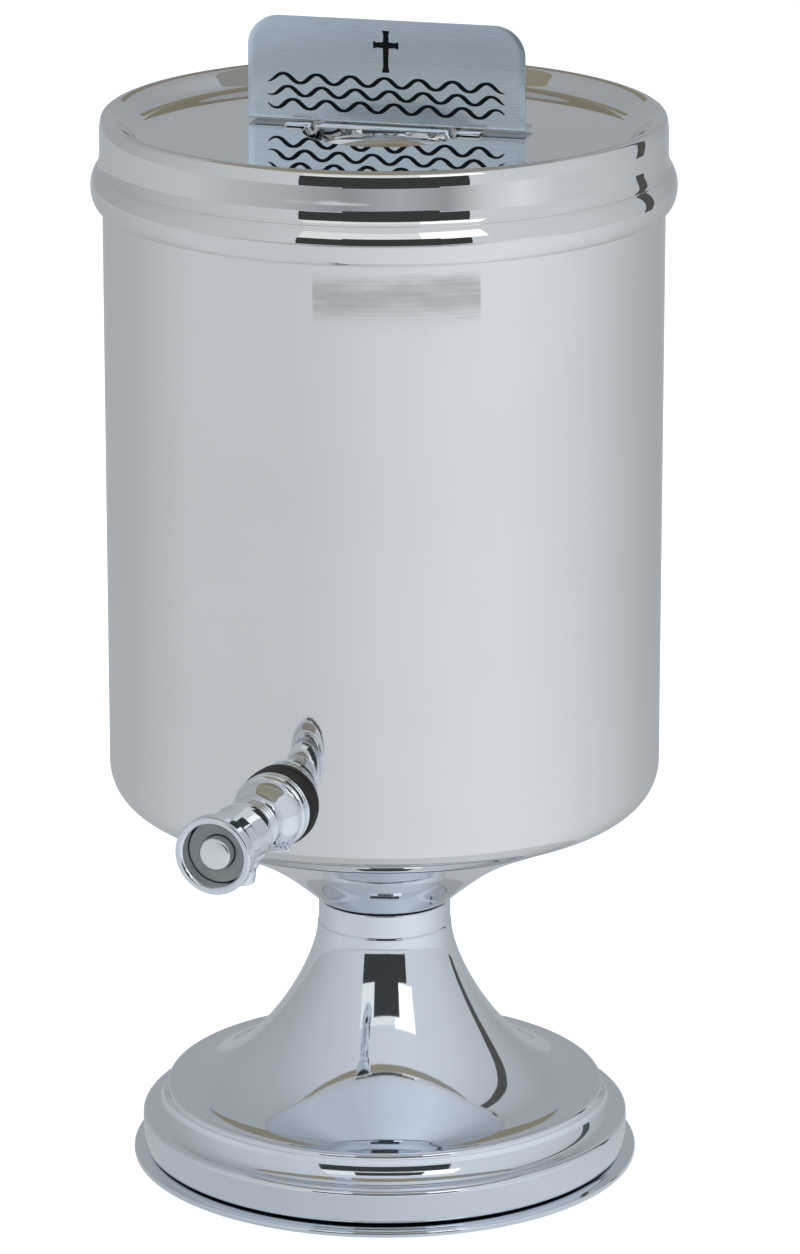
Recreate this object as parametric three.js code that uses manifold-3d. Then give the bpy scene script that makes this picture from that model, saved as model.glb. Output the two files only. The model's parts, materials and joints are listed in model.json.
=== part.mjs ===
// Holy water urn: a drawn tank with a lift-off lid on a spun pedestal foot, with a push-button tap.
// Units are millimetres, +Z is up. The urn stands on Z = 0 and the tap points along -Y.
import * as THREE from 'three';
import { mergeVertices } from 'three/addons/utils/BufferGeometryUtils.js';
import Module from 'manifold-3d';

const wasm = await Module();
wasm.setup();

// Driving dimensions
const seatGap = 0.3;            // clearance between pieces that rest on each other
const overrun = 1.5;            // how far a cutting tool runs past what it cuts
const bigFacets = 36;           // facets round the tank, lid and foot
const smallFacets = 18;         // facets round the tap and the fasteners

const tank = {
  radius: 108,                  // outside of the drawn wall, an 8.5 inch pot
  wall: 1,
  cornerRadius: 17.5,           // between wall and bottom
  height: 270.5,                // from the bottom to the edge of the neck
  beadHeight: 17.2,             // the rolled bead, measured along the wall
  beadReach: 4.5,               // how far the bead stands out
  beadUpper: 0.65,              // how its two halves run out: below 1 full, above 1 hollow
  beadLower: 1.2,
  beadToEdge: 15.8,             // from the top of the bead to the edge of the neck
  neckStep: 0.4,                // the neck is this much smaller in radius than the wall
};

const lid = {
  slip: 0.7,                    // clearance between the neck and the skirt
  sheet: 0.8,
  skirtHeight: 19.5,            // from the bead to the crest
  crestRadius: 1.8,             // rounding outside the crest
  crestWidth: 3.4,              // from the skirt to the inner wall of the crest
  panelDepth: 6,                // the panel lies this far under the crest
  panelFillet: 4.2,             // hollow slope from the crest down to the panel
  recessRadius: 32,             // finger recess in the panel
  recessDepth: 12,
  recessEdge: 1.2,
  recessDraft: 1.2,             // how much the recess narrows on its way down
  recessFillet: 4,
  turn: 6.6,                    // degrees, how the lid happens to be put on
};

const strap = {
  width: 13,
  setback: 2,                   // its middle lies this far behind the lid's axis
  thickness: 0.7,
  barHalf: 25.2,                // half of the straight bar
  dip: 3.3,                     // how far the bends go down in the recess
  dipReach: 27.6,               // where the bends are lowest
  footStart: 28.9,              // where the strap comes up over the recess edge
  footEnd: 38.4,
};

const sign = {
  width: 109.4,
  height: 40.4,
  sheet: 0.9,
  cornerRadius: 12,
  footDepth: 12,
  bendRadius: 1.6,              // outside of the bend
  setback: 2.6,                 // the front face stands this far behind the lid's axis
};

const rivet = {
  spacing: 34.8,
  shank: 1,
  headRadius: 1.9,
  headHeight: 0.9,
  tailRadius: 1.5,
  tailHeight: 3.8,
  setback: 6.2,                 // behind the lid's axis
  clearance: 0.25,
};

const pedestal = {
  flareTopRadius: 94,           // where the trumpet meets the tank's bottom
  flareSheet: 1,
  flareHeight: 39.8,
  flareLead: 16.7,              // height of the trumpet's lower end
  flareLeadOut: 19,             // how far that end leans out
  flareTail: 40.9,              // length of its upper end
  flareTailDrop: 18.3,          // how far that end comes down
  gasketRadius: 25.1,
  gasketHeight: 1.1,
  neckRadius: 27,               // foot of the flare
  collarRadius: 26.1,
  collarHeight: 10.1,
  collarWall: 3.2,
  collarEdge: 0.6,
};

const foot = {
  height: 96,
  sheet: 1.2,
  stemRadius: 25.3,
  stemLead: 18.5,               // length of the straight start of the stem
  ledgeRadius: 86.1,
  ledgeHeight: 27.2,
  ledgeTail: 32,                // length of the flat end of the trumpet
  ledgeEdge: 0.6,               // rounding of the ledge's edge
  stepFillet: 5,                // hollow corner where the step meets the shoulder
  shoulderHeight: 16.6,
  shoulderRound: 3.6,           // from the flat of the shoulder out to the band
  bandRadius: 95.6,
  bandTop: 14.6,
  bandBottom: 6,
  grooveDepth: 0.7,
  grooveHeight: 1.4,
  rimRadius: 100.3,
  rimRoll: 1.4,                 // radius of the rolled rim
  rimFlat: 1.2,                 // width of the flat that the urn stands on
};

const tie = {
  radius: 4,
  holeClearance: 0.6,
  fitClearance: 0.2,
  sealRadius: 10.5,
  sealHeight: 2,
  nutFlats: 13,
  capHexHeight: 6.5,
  capDome: 5,
  capWall: 1.4,
  spreaderRadius: 18.5,
  spreaderHeight: 2.5,
  lockWasherRadius: 8,
  lockWasherHeight: 1.8,
  nutHeight: 6.5,
  thread: 3,                    // rod left over past the nut
};

const tap = {
  aboveCorner: 12,              // the axis lies this far above the tank's rounded corner
  length: 65.5,                 // tank wall to the face of the front ring
  holeRadius: 6.6,
  shankRadius: 6.2,
  shankInside: 13,              // length of the shank inside the tank wall
  inletRadius: 4.9,
  gasketRadius: 15.2,
  gasketHeight: 4.8,
  gasketRound: 2.2,
  innerSealRadius: 12.5,
  innerSealHeight: 2.6,
  innerWasherHeight: 1.2,
  lockFlats: 20,
  lockHeight: 5,
};

const collar = {
  radius: 14.6,
  height: 6.8,
  hub: 9,                       // radius of the hub that carries it
  grooveDepth: 0.45,
  grooveWidth: 0.8,
  edge: 0.8,
};

const barrel = {
  bulbRadius: 14,
  bulbEnd: 24.2,                // where the bulb runs into the neck
  neckRadius: 9.5,
  neckEnd: 31.4,
  ringRise: 0.6,
  ringCount: 3,
  bodyRadius: 12.1,
  bodyCentre: 40,
  bodyEnd: 48.6,
  bodyEndRadius: 11.4,
  noseRadius: 10.4,
  noseEnd: 56.4,
  seatStart: 30,                // valve seat, on its tank side
  seatThickness: 2,
  seatRadius: 3.4,
  chamberRadius: 5.2,
  springStart: 45,              // where the chamber widens for the spring
  springBoreRadius: 8.4,
};

const spout = {
  radius: 6.4,
  mouthRadius: 6,
  bore: 3.6,
  reach: 17.8,                  // from the tap's axis down to the mouth
};

const ring = {
  start: 48.9,
  startRadius: 12.2,
  waist: 55,                    // where the ring starts to flare
  radius: 15,
  flangeStart: 61.2,
  holeRadius: 12,
  edge: 0.9,
  threadClearance: 0.3,
};

const guide = {
  height: 2.4,
  boreClearance: 0.3,
  fitClearance: 0.25,
};

const button = {
  radius: 6.3,
  faceSetback: 1.4,             // the face lies this far behind the ring's face
  flangeRadius: 7.7,
  flangeHeight: 1.6,
  chamfer: 0.7,
  stemSocket: 3.5,
};

const valve = {
  stemRadius: 1.6,
  headRadius: 2.6,
  headHeight: 1.7,
  sealRadius: 4.4,
  sealHeight: 2,
  sealFit: 0.2,
};

const spring = {
  coilRadius: 5.9,
  wireRadius: 0.42,
  turns: 4.5,
  sides: 5,
  stepsPerTurn: 8,
};

const screw = {
  station: 16,                  // along the tap, from the tank wall
  turn: 39,                     // degrees from straight down towards +X
  ballRadius: 1.7,
  shankRadius: 0.9,
  shankLength: 3,
};

// Places worked out from the sizes
const footTop = foot.height;
const collarTop = footTop + pedestal.collarHeight;
const flareBottom = collarTop + pedestal.gasketHeight;
const tankBottom = flareBottom + pedestal.flareHeight;
const tankTop = tankBottom + tank.height;
const tapHeight = tankBottom + tank.cornerRadius + tap.aboveCorner;
const beadTop = tankTop - tank.beadToEdge;
const beadMiddle = beadTop - tank.beadHeight / 2;
const skirtBottom = beadTop;
const crestTop = skirtBottom + lid.skirtHeight;
const panelTop = crestTop - lid.panelDepth;
const strapTop = panelTop + seatGap + strap.thickness;
const signBottom = strapTop + seatGap;
const skirtRadius = tank.radius - tank.neckStep + lid.slip + lid.sheet;
const tieHole = tie.radius + tie.holeClearance;
const buttonFace = tap.length - button.faceSetback;
const guideStart = barrel.noseEnd + seatGap;
const buttonStart = guideStart - seatGap - button.flangeHeight;
const sealEnd = barrel.seatStart - seatGap;
const sealStart = sealEnd - valve.sealHeight;
// The origin is under the middle of the space that the urn takes up.
const rearReach = tank.radius + tank.beadReach;
const frontReach = tank.radius + tap.length;
const axisShift = (frontReach - rearReach) / 2;

// Finishes
const finish = (color, roughness, metalness) =>
  new THREE.MeshStandardMaterial({ color, roughness, metalness });
const polishedSteel = finish(0xc9cacb, 0.22, 1);
const spunChrome = finish(0xd4d7da, 0.06, 1);
const satinSheet = finish(0x9fa8b3, 0.35, 1);
const plainSteel = finish(0xa6a8aa, 0.35, 1);
const blackRubber = finish(0x1b1a19, 0.7, 0);
const greyPlastic = finish(0x6d7170, 0.5, 0.1);

// Outlines: lists of (radius, height) points
const at = (r, z) => new THREE.Vector2(r, z);

function arc(centreR, centreZ, radiusR, radiusZ, fromDegrees, toDegrees, steps) {
  return Array.from({ length: steps + 1 }, (_, i) => {
    const angle = THREE.MathUtils.degToRad(fromDegrees + (toDegrees - fromDegrees) * i / steps);
    return at(centreR + radiusR * Math.cos(angle), centreZ + radiusZ * Math.sin(angle));
  });
}

function bezier(start, startHandle, endHandle, end, steps) {
  return new THREE.CubicBezierCurve(start, startHandle, endHandle, end).getPoints(steps);
}

// The outline moved sideways by one sheet thickness, to the right of its direction.
function offsetOutline(points, distance) {
  const normals = points.slice(1).map((point, i) => {
    const direction = point.clone().sub(points[i]).normalize();
    return at(direction.y, -direction.x);
  });
  return points.map((point, i) => {
    const before = normals[Math.max(i - 1, 0)];
    const after = normals[Math.min(i, normals.length - 1)];
    const middle = before.clone().add(after).normalize();
    return point.clone().addScaledVector(middle, distance / middle.dot(before));
  });
}

// A sheet-metal wall: one face follows the outline, the other lies one thickness to its right.
function sheetProfile(points, thickness) {
  return [...points, ...offsetOutline(points, thickness).reverse()];
}

// Solids
function dropSlivers(geometry) {
  const index = geometry.getIndex().array;
  const kept = [];
  for (let i = 0; i < index.length; i += 3) {
    const [a, b, c] = index.subarray(i, i + 3);
    if (a !== b && b !== c && c !== a) kept.push(a, b, c);
  }
  geometry.setIndex(kept);
  return geometry;
}

function signedVolume(geometry) {
  const position = geometry.getAttribute('position');
  const index = geometry.getIndex().array;
  const [a, b, c] = [new THREE.Vector3(), new THREE.Vector3(), new THREE.Vector3()];
  let volume = 0;
  for (let i = 0; i < index.length; i += 3) {
    a.fromBufferAttribute(position, index[i]);
    b.fromBufferAttribute(position, index[i + 1]);
    c.fromBufferAttribute(position, index[i + 2]);
    volume += a.dot(b.cross(c)) / 6;
  }
  return volume;
}

// Shared vertices are merged, slivers dropped and the faces turned outwards.
function closed(geometry) {
  const bare = geometry.clone();
  bare.deleteAttribute('normal');
  bare.deleteAttribute('uv');
  const merged = dropSlivers(mergeVertices(bare));
  if (signedVolume(merged) < 0) merged.setIndex([...merged.getIndex().array].reverse());
  return merged;
}

function turned(points, facets) {
  const last = points[points.length - 1];
  const loop = points[0].x > 0 && !points[0].equals(last) ? [...points, points[0]] : points;
  return closed(new THREE.LatheGeometry(loop, facets).rotateX(Math.PI / 2));
}

function tube(inner, outer, bottom, top, facets) {
  return turned([at(inner, bottom), at(outer, bottom), at(outer, top), at(inner, top)], facets);
}

function rod(radius, bottom, top, facets) {
  return turned([at(0, bottom), at(radius, bottom), at(radius, top), at(0, top)], facets);
}

function hexBlock(flats, bottom, top) {
  const corner = flats / 2 / Math.cos(Math.PI / 6);
  return rod(corner, bottom, top, 6);
}

function toManifold(geometry) {
  return new wasm.Manifold(new wasm.Mesh({
    numProp: 3,
    vertProperties: Float32Array.from(geometry.getAttribute('position').array),
    triVerts: Uint32Array.from(geometry.getIndex().array),
  }));
}

function fromManifold(solid) {
  const mesh = solid.getMesh();
  const geometry = new THREE.BufferGeometry();
  geometry.setAttribute('position', new THREE.BufferAttribute(mesh.vertProperties, 3));
  geometry.setIndex(Array.from(mesh.triVerts));
  return closed(geometry);
}

function cut(body, ...tools) {
  const rest = tools.reduce((solid, tool) => solid.subtract(toManifold(tool)), toManifold(body));
  return fromManifold(rest);
}

function join(...bodies) {
  return fromManifold(bodies.map(toManifold).reduce((all, next) => all.add(next)));
}

function overlapOf(first, second) {
  return fromManifold(toManifold(first).intersect(toManifold(second)));
}

function named(name, geometry, material) {
  const flat = geometry.toNonIndexed();
  flat.computeVertexNormals();
  const mesh = new THREE.Mesh(flat, material);
  mesh.name = name;
  return mesh;
}

// Tank: drawn pot with a rolled bead and a plain neck
function tankOutline() {
  const { radius, cornerRadius, beadHeight, beadReach, beadUpper, beadLower, neckStep } = tank;
  const cornerCentre = radius - cornerRadius;
  const bead = [-1, -0.8, -0.55, -0.25, 0, 0.3, 0.6, 0.85, 0.97].map((u) => {
    const swell = (1 - u * u) ** (u < 0 ? beadLower : beadUpper);
    return at(radius + beadReach * swell, beadMiddle + u * beadHeight / 2);
  });
  return [
    at(tieHole, tankBottom),
    ...arc(cornerCentre, tankBottom + cornerRadius, cornerRadius, cornerRadius, -90, 0, 5),
    ...bead,
    at(radius - neckStep, beadTop),
    at(radius - neckStep, tankTop),
  ];
}

// Walked from the top down, the outline has the inside of the pot on its right.
function tankBody() {
  const body = turned(sheetProfile(tankOutline().reverse(), tank.wall), bigFacets);
  const drill = rod(tap.holeRadius, -tank.wall - overrun, overrun, smallFacets);
  return cut(body, placedOnTap(drill));
}

// Puts a piece that is made along the tap's axis, from the tank wall outwards, where it belongs.
function placedOnTap(geometry) {
  return geometry.clone().rotateX(Math.PI / 2).translate(0, -tank.radius, tapHeight);
}

// Lid: skirt, crest, recessed panel and finger recess in one pressing
function lidOutline() {
  const { crestRadius, crestWidth, panelFillet } = lid;
  const { recessRadius, recessDepth, recessEdge, recessDraft, recessFillet } = lid;
  const floorZ = panelTop - recessDepth;
  const recessWall = recessRadius - recessEdge;
  const recessBase = recessWall - recessDraft;
  const innerWall = skirtRadius - crestWidth;
  const innerCrest = crestWidth - crestRadius;
  return [
    at(0, floorZ),
    ...arc(recessBase - recessFillet, floorZ + recessFillet, recessFillet, recessFillet, -90, 0, 2),
    ...arc(recessRadius, panelTop - recessEdge, recessEdge, recessEdge, 180, 90, 2),
    ...arc(innerWall - panelFillet, panelTop + panelFillet, panelFillet, panelFillet, -90, 0, 2),
    ...arc(innerWall + innerCrest, crestTop - innerCrest, innerCrest, innerCrest, 180, 90, 2),
    ...arc(skirtRadius - crestRadius, crestTop - crestRadius, crestRadius, crestRadius, 90, 0, 4)
      .slice(1),
    at(skirtRadius, skirtBottom + seatGap),
  ];
}

function lidCover() {
  return turned(sheetProfile(lidOutline(), lid.sheet), bigFacets);
}

// Strap: one bent strip, drawn from the side and given its width
function lidStrap() {
  const { width, setback, thickness, barHalf, dip, dipReach, footStart, footEnd } = strap;
  const low = strapTop - dip;
  const right = [at(barHalf, strapTop), at(dipReach, low), at(footStart, strapTop), at(footEnd, strapTop)];
  const left = right.map((point) => at(-point.x, point.y)).reverse();
  const outline = new THREE.Shape(sheetProfile([...left, ...right], thickness));
  const strip = new THREE.ExtrudeGeometry(outline, { depth: width, bevelEnabled: false });
  return closed(strip.rotateX(Math.PI / 2).translate(0, width / 2 + setback, 0));
}

// Sign: plate with two round corners, bent back into a foot
function signPlate() {
  const { width, height, sheet, cornerRadius, footDepth, bendRadius, setback } = sign;
  const half = width / 2;
  const face = new THREE.Shape();
  face.moveTo(-half, bendRadius);
  face.lineTo(half, bendRadius);
  face.absarc(half - cornerRadius, height - cornerRadius, cornerRadius, 0, Math.PI / 2);
  face.absarc(cornerRadius - half, height - cornerRadius, cornerRadius, Math.PI / 2, Math.PI);
  const plate = new THREE.ExtrudeGeometry(face, { depth: sheet, bevelEnabled: false, curveSegments: 10 });
  plate.rotateX(Math.PI / 2).translate(0, sheet, 0);

  const bend = arc(bendRadius, bendRadius, bendRadius, bendRadius, 270, 180, 4);
  const upright = at(0, bendRadius + sheet);
  const profile = new THREE.Shape(sheetProfile([at(footDepth, 0), ...bend, upright], sheet));
  const foldedFoot = new THREE.ExtrudeGeometry(profile, { depth: width, bevelEnabled: false });
  foldedFoot.rotateX(Math.PI / 2).rotateZ(Math.PI / 2).translate(-half, 0, 0);

  return join(closed(plate), closed(foldedFoot)).translate(0, setback, signBottom);
}

function rivetHoles(radius) {
  return [-1, 1].map((side) => rod(radius, panelTop - lid.recessDepth / 2, crestTop, smallFacets)
    .translate(side * rivet.spacing / 2, rivet.setback, 0));
}

function signRivet(side) {
  const top = signBottom + sign.sheet + seatGap;
  const bottom = strapTop - strap.thickness - seatGap;
  const outline = [
    at(0, bottom - rivet.tailHeight),
    ...arc(0, bottom, rivet.tailRadius, rivet.tailHeight, -60, 0, 2),
    at(rivet.shank, bottom),
    at(rivet.shank, top),
    ...arc(0, top, rivet.headRadius, rivet.headHeight, 0, 60, 2),
    at(0, top + rivet.headHeight),
  ];
  return turned(outline, smallFacets / 2).translate(side * rivet.spacing / 2, rivet.setback, 0);
}

// Flare: spun trumpet with a floor that the tie rod clamps
function tankFlare() {
  const { flareTopRadius, flareSheet, flareLead, flareLeadOut } = pedestal;
  const { flareTail, flareTailDrop, neckRadius } = pedestal;
  const outline = [
    at(tieHole, flareBottom),
    ...bezier(
      at(neckRadius, flareBottom),
      at(neckRadius + flareLeadOut, flareBottom + flareLead),
      at(flareTopRadius - flareTail, tankBottom - flareTailDrop),
      at(flareTopRadius, tankBottom),
      7,
    ),
  ];
  const shell = turned(sheetProfile(outline.reverse(), flareSheet), bigFacets);
  const trim = tube(tieHole, flareTopRadius + overrun, tankBottom, tankBottom + flareLead, bigFacets);
  return cut(shell, trim);
}

function collarRing() {
  const { collarRadius, collarWall, collarEdge } = pedestal;
  const inner = collarRadius - collarWall;
  return turned([
    at(inner, footTop),
    at(collarRadius - collarEdge, footTop),
    at(collarRadius, footTop + collarEdge),
    at(collarRadius, collarTop - collarEdge),
    at(collarRadius - collarEdge, collarTop),
    at(inner, collarTop),
  ], bigFacets);
}

// Foot: stem, trumpet, ledge, shoulder, band and rolled rim, spun from one sheet
function footShell() {
  const { stemRadius, stemLead, ledgeRadius, ledgeHeight, ledgeTail, ledgeEdge } = foot;
  const { stepFillet, shoulderHeight, shoulderRound, bandRadius, bandTop, bandBottom } = foot;
  const { grooveDepth, grooveHeight, rimRadius, rimRoll, rimFlat, sheet } = foot;
  const stepRadius = ledgeRadius + ledgeEdge;
  const outside = [
    at(tieHole, footTop),
    ...bezier(
      at(stemRadius, footTop),
      at(stemRadius, footTop - stemLead),
      at(ledgeRadius - ledgeTail, ledgeHeight),
      at(ledgeRadius, ledgeHeight),
      8,
    ),
    at(stepRadius, ledgeHeight - ledgeEdge),
    ...arc(stepRadius + stepFillet, shoulderHeight + stepFillet, stepFillet, stepFillet, 180, 270, 3),
    ...arc(bandRadius - shoulderRound, bandTop, shoulderRound, shoulderHeight - bandTop, 90, 0, 3),
    at(bandRadius, bandBottom),
    at(bandRadius - grooveDepth, bandBottom - grooveHeight / 2),
  ];
  const rollCentre = rimRadius - rimRoll;
  const rim = [
    at(rollCentre, rimRoll * 2),
    ...arc(rollCentre + rimFlat / 2, rimRoll, rimRoll - rimFlat / 2, rimRoll, 60, -90, 4),
    at(rollCentre - rimFlat / 2, 0),
    at(bandRadius - grooveDepth - sheet, rimRoll),
  ];
  const inside = offsetOutline(outside, sheet).reverse();
  return turned([...outside, ...rim, ...inside], bigFacets);
}

// Fasteners of the pedestal
const spreaderTop = footTop - foot.sheet;
const lockWasherTop = spreaderTop - tie.spreaderHeight;
const lockNutTop = lockWasherTop - tie.lockWasherHeight;
const rodBottom = lockNutTop - tie.nutHeight - tie.thread;
const sealBottom = tankBottom + tank.wall;
const capBottom = sealBottom + tie.sealHeight;
const boreOfTie = tie.radius + tie.fitClearance;

function tieCapNut() {
  const domeBase = capBottom + tie.capHexHeight;
  const domeRadius = tie.radius + tie.capWall;
  const dome = turned([
    at(0, capBottom),
    at(domeRadius, capBottom),
    ...arc(0, domeBase, domeRadius, tie.capDome, 0, 90, 4),
  ], smallFacets);
  const bore = rod(boreOfTie, capBottom - overrun, domeBase, smallFacets);
  return cut(join(hexBlock(tie.nutFlats, capBottom, domeBase), dome), bore);
}

function hexNut(flats, bore, bottom, top) {
  return cut(hexBlock(flats, bottom, top), rod(bore, bottom - overrun, top + overrun, smallFacets));
}

// Tap: pieces are turned about their own axis, from the tank wall at 0 outwards
function tapGasketOuter() {
  const { gasketRadius, gasketHeight, gasketRound, shankRadius } = tap;
  const bore = shankRadius + seatGap;
  const blank = turned([
    at(bore, -overrun),
    at(gasketRadius, -overrun),
    ...arc(gasketRadius - gasketRound, gasketHeight - gasketRound, gasketRound, gasketRound, 0, 60, 3),
    at(collar.radius - collar.edge, gasketHeight),
    at(bore, gasketHeight),
  ], smallFacets);
  const wall = tank.radius + seatGap;
  const tankShape = rod(wall, tankBottom, beadTop, bigFacets);
  return cut(placedOnTap(blank), tankShape);
}

function tapGasketInner() {
  const { innerSealRadius, innerSealHeight, shankRadius } = tap;
  const bore = shankRadius + seatGap;
  const blank = tube(bore, innerSealRadius, -tank.wall - innerSealHeight, 0, smallFacets);
  const inside = rod(tank.radius - tank.wall - seatGap, tankBottom, beadTop, bigFacets);
  return overlapOf(placedOnTap(blank), inside);
}

const innerWasherTop = -tank.wall - tap.innerSealHeight;
const lockTop = innerWasherTop - tap.innerWasherHeight;
const collarStart = tap.gasketHeight;
const collarEnd = collarStart + collar.height;

function tapCollar() {
  const { radius, grooveDepth, grooveWidth, edge, hub } = collar;
  const groove = (start) => [
    at(radius, start),
    at(radius - grooveDepth, start + grooveWidth / 2),
    at(radius, start + grooveWidth),
  ];
  const firstGroove = collarStart + edge + grooveWidth;
  return turned([
    at(hub + seatGap, collarStart),
    at(radius - edge, collarStart),
    at(radius, collarStart + edge),
    ...groove(firstGroove),
    ...groove(firstGroove + grooveWidth + edge),
    at(radius, collarEnd - edge),
    at(radius - edge, collarEnd),
    at(hub + seatGap, collarEnd),
  ], smallFacets);
}

function neckRings() {
  const { bulbEnd, neckEnd, neckRadius, ringRise, ringCount } = barrel;
  const pitch = (neckEnd - bulbEnd) / (ringCount + 1);
  return Array.from({ length: ringCount }, (_, i) => {
    const start = bulbEnd + pitch * (i + 1 / 2);
    return [
      at(neckRadius, start),
      at(neckRadius + ringRise, start + pitch / 2),
      at(neckRadius, start + pitch),
    ];
  }).flat();
}

function tapBody() {
  const { bulbRadius, bulbEnd, neckRadius, neckEnd, bodyRadius, bodyCentre, bodyEnd } = barrel;
  const { bodyEndRadius, noseRadius, noseEnd, seatStart, seatThickness, seatRadius } = barrel;
  const { chamberRadius, springStart, springBoreRadius } = barrel;
  const bulbStart = collarEnd + seatGap;
  const outside = turned([
    at(0, -tap.shankInside),
    at(tap.shankRadius, -tap.shankInside),
    at(tap.shankRadius, collarStart),
    at(collar.hub, collarStart),
    at(collar.hub, bulbStart),
    ...bezier(
      at(bulbRadius, bulbStart),
      at(bulbRadius, (bulbStart + bulbEnd) / 2),
      at(neckRadius, (bulbStart + bulbEnd) / 2),
      at(neckRadius, bulbEnd),
      5,
    ),
    ...neckRings(),
    ...arc(neckRadius, bodyCentre, bodyRadius - neckRadius, bodyCentre - neckEnd, -90, 0, 4),
    at(bodyEndRadius, bodyEnd),
    at(noseRadius, bodyEnd),
    at(noseRadius, noseEnd),
    at(0, noseEnd),
  ], smallFacets);
  const outlet = turned([
    at(0, 0),
    at(spout.radius, 0),
    at(spout.radius, (spout.reach + bodyRadius) / 2),
    at(spout.mouthRadius, spout.reach),
    at(0, spout.reach),
  ], smallFacets);
  const downwards = (geometry) => geometry.rotateX(Math.PI / 2).translate(0, 0, bodyCentre);
  const bores = [
    rod(tap.inletRadius, -tap.shankInside - overrun, seatStart, smallFacets),
    rod(seatRadius, seatStart - overrun, seatStart + seatThickness + overrun, smallFacets),
    rod(chamberRadius, seatStart + seatThickness, springStart + overrun, smallFacets),
    rod(springBoreRadius, springStart, noseEnd + overrun, smallFacets),
    downwards(rod(spout.bore, 0, spout.reach + overrun, smallFacets / 2)),
  ];
  return cut(join(outside, downwards(outlet)), ...bores, screwHole());
}

function tapFrontRing() {
  const { start, startRadius, waist, radius, flangeStart, holeRadius, edge, threadClearance } = ring;
  const front = tap.length;
  return turned([
    at(barrel.noseRadius + threadClearance, start),
    at(startRadius, start),
    ...bezier(
      at(startRadius, waist),
      at(startRadius, (waist + flangeStart) / 2),
      at(radius, (waist + flangeStart) / 2),
      at(radius, flangeStart),
      4,
    ),
    ...arc(radius - edge, front - edge, edge, edge, 0, 90, 2),
    at(holeRadius + edge, front),
    at(holeRadius, front - edge),
    at(holeRadius, guideStart),
    at(barrel.noseRadius + threadClearance, guideStart),
  ], smallFacets);
}

function tapGuide() {
  const bore = button.radius + guide.boreClearance;
  const rim = ring.holeRadius - guide.fitClearance;
  return tube(bore, rim, guideStart + seatGap, guideStart + guide.height, smallFacets);
}

function pushButton() {
  const { radius, flangeRadius, flangeHeight, chamfer, stemSocket } = button;
  const bore = valve.stemRadius + valve.sealFit;
  return turned([
    at(bore, buttonStart),
    at(flangeRadius, buttonStart),
    at(flangeRadius, buttonStart + flangeHeight),
    at(radius, buttonStart + flangeHeight),
    at(radius, buttonFace - chamfer),
    at(radius - chamfer, buttonFace),
    at(0, buttonFace),
    at(0, buttonStart + stemSocket),
    at(bore, buttonStart + stemSocket),
    at(bore, buttonStart),
  ], smallFacets);
}

function valveStem() {
  const { stemRadius, headRadius, headHeight } = valve;
  const headEnd = sealStart - seatGap;
  return turned([
    at(0, headEnd - headHeight),
    at(headRadius, headEnd - headHeight),
    at(headRadius, headEnd),
    at(stemRadius, headEnd),
    at(stemRadius, buttonStart + button.stemSocket - seatGap),
    at(0, buttonStart + button.stemSocket - seatGap),
  ], smallFacets / 2);
}

// Spring: a wire along a helix, its ends closed
function returnSpring() {
  const { coilRadius, wireRadius, turns, sides, stepsPerTurn } = spring;
  const start = barrel.springStart + seatGap + wireRadius;
  const end = buttonStart - seatGap - wireRadius;
  const steps = turns * stepsPerTurn;
  const position = [];
  const index = [];
  for (let i = 0; i <= steps; i += 1) {
    const angle = 2 * Math.PI * i / stepsPerTurn;
    const height = start + (end - start) * i / steps;
    for (let side = 0; side < sides; side += 1) {
      const around = 2 * Math.PI * side / sides;
      const r = coilRadius + wireRadius * Math.cos(around);
      position.push(r * Math.cos(angle), r * Math.sin(angle), height + wireRadius * Math.sin(around));
    }
  }
  for (let i = 0; i < steps; i += 1) {
    for (let side = 0; side < sides; side += 1) {
      const a = i * sides + side;
      const b = i * sides + (side + 1) % sides;
      index.push(a, b, a + sides, b, b + sides, a + sides);
    }
  }
  const lastRing = steps * sides;
  for (let side = 1; side < sides - 1; side += 1) {
    index.push(0, side + 1, side, lastRing, lastRing + side, lastRing + side + 1);
  }
  const geometry = new THREE.BufferGeometry();
  geometry.setAttribute('position', new THREE.Float32BufferAttribute(position, 3));
  geometry.setIndex(index);
  return closed(geometry);
}

// The screw sits square on the bulb, on the lower right.
function onBulb(geometry) {
  const sideways = THREE.MathUtils.degToRad(screw.turn);
  return geometry.rotateX(Math.PI / 2).rotateZ(sideways).translate(0, 0, screw.station);
}

const screwSeat = collar.radius - screw.ballRadius;

function screwHole() {
  const hole = screw.shankRadius + seatGap;
  return onBulb(rod(hole, screwSeat - screw.shankLength - seatGap, tap.gasketRadius, smallFacets / 2));
}

function tapScrew() {
  const { ballRadius, shankRadius, shankLength } = screw;
  return onBulb(turned([
    at(0, screwSeat - shankLength),
    at(shankRadius, screwSeat - shankLength),
    at(shankRadius, screwSeat),
    ...arc(0, screwSeat + ballRadius, ballRadius, ballRadius, -60, 60, 4),
    at(0, screwSeat + ballRadius * 2),
  ], smallFacets / 2));
}

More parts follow.
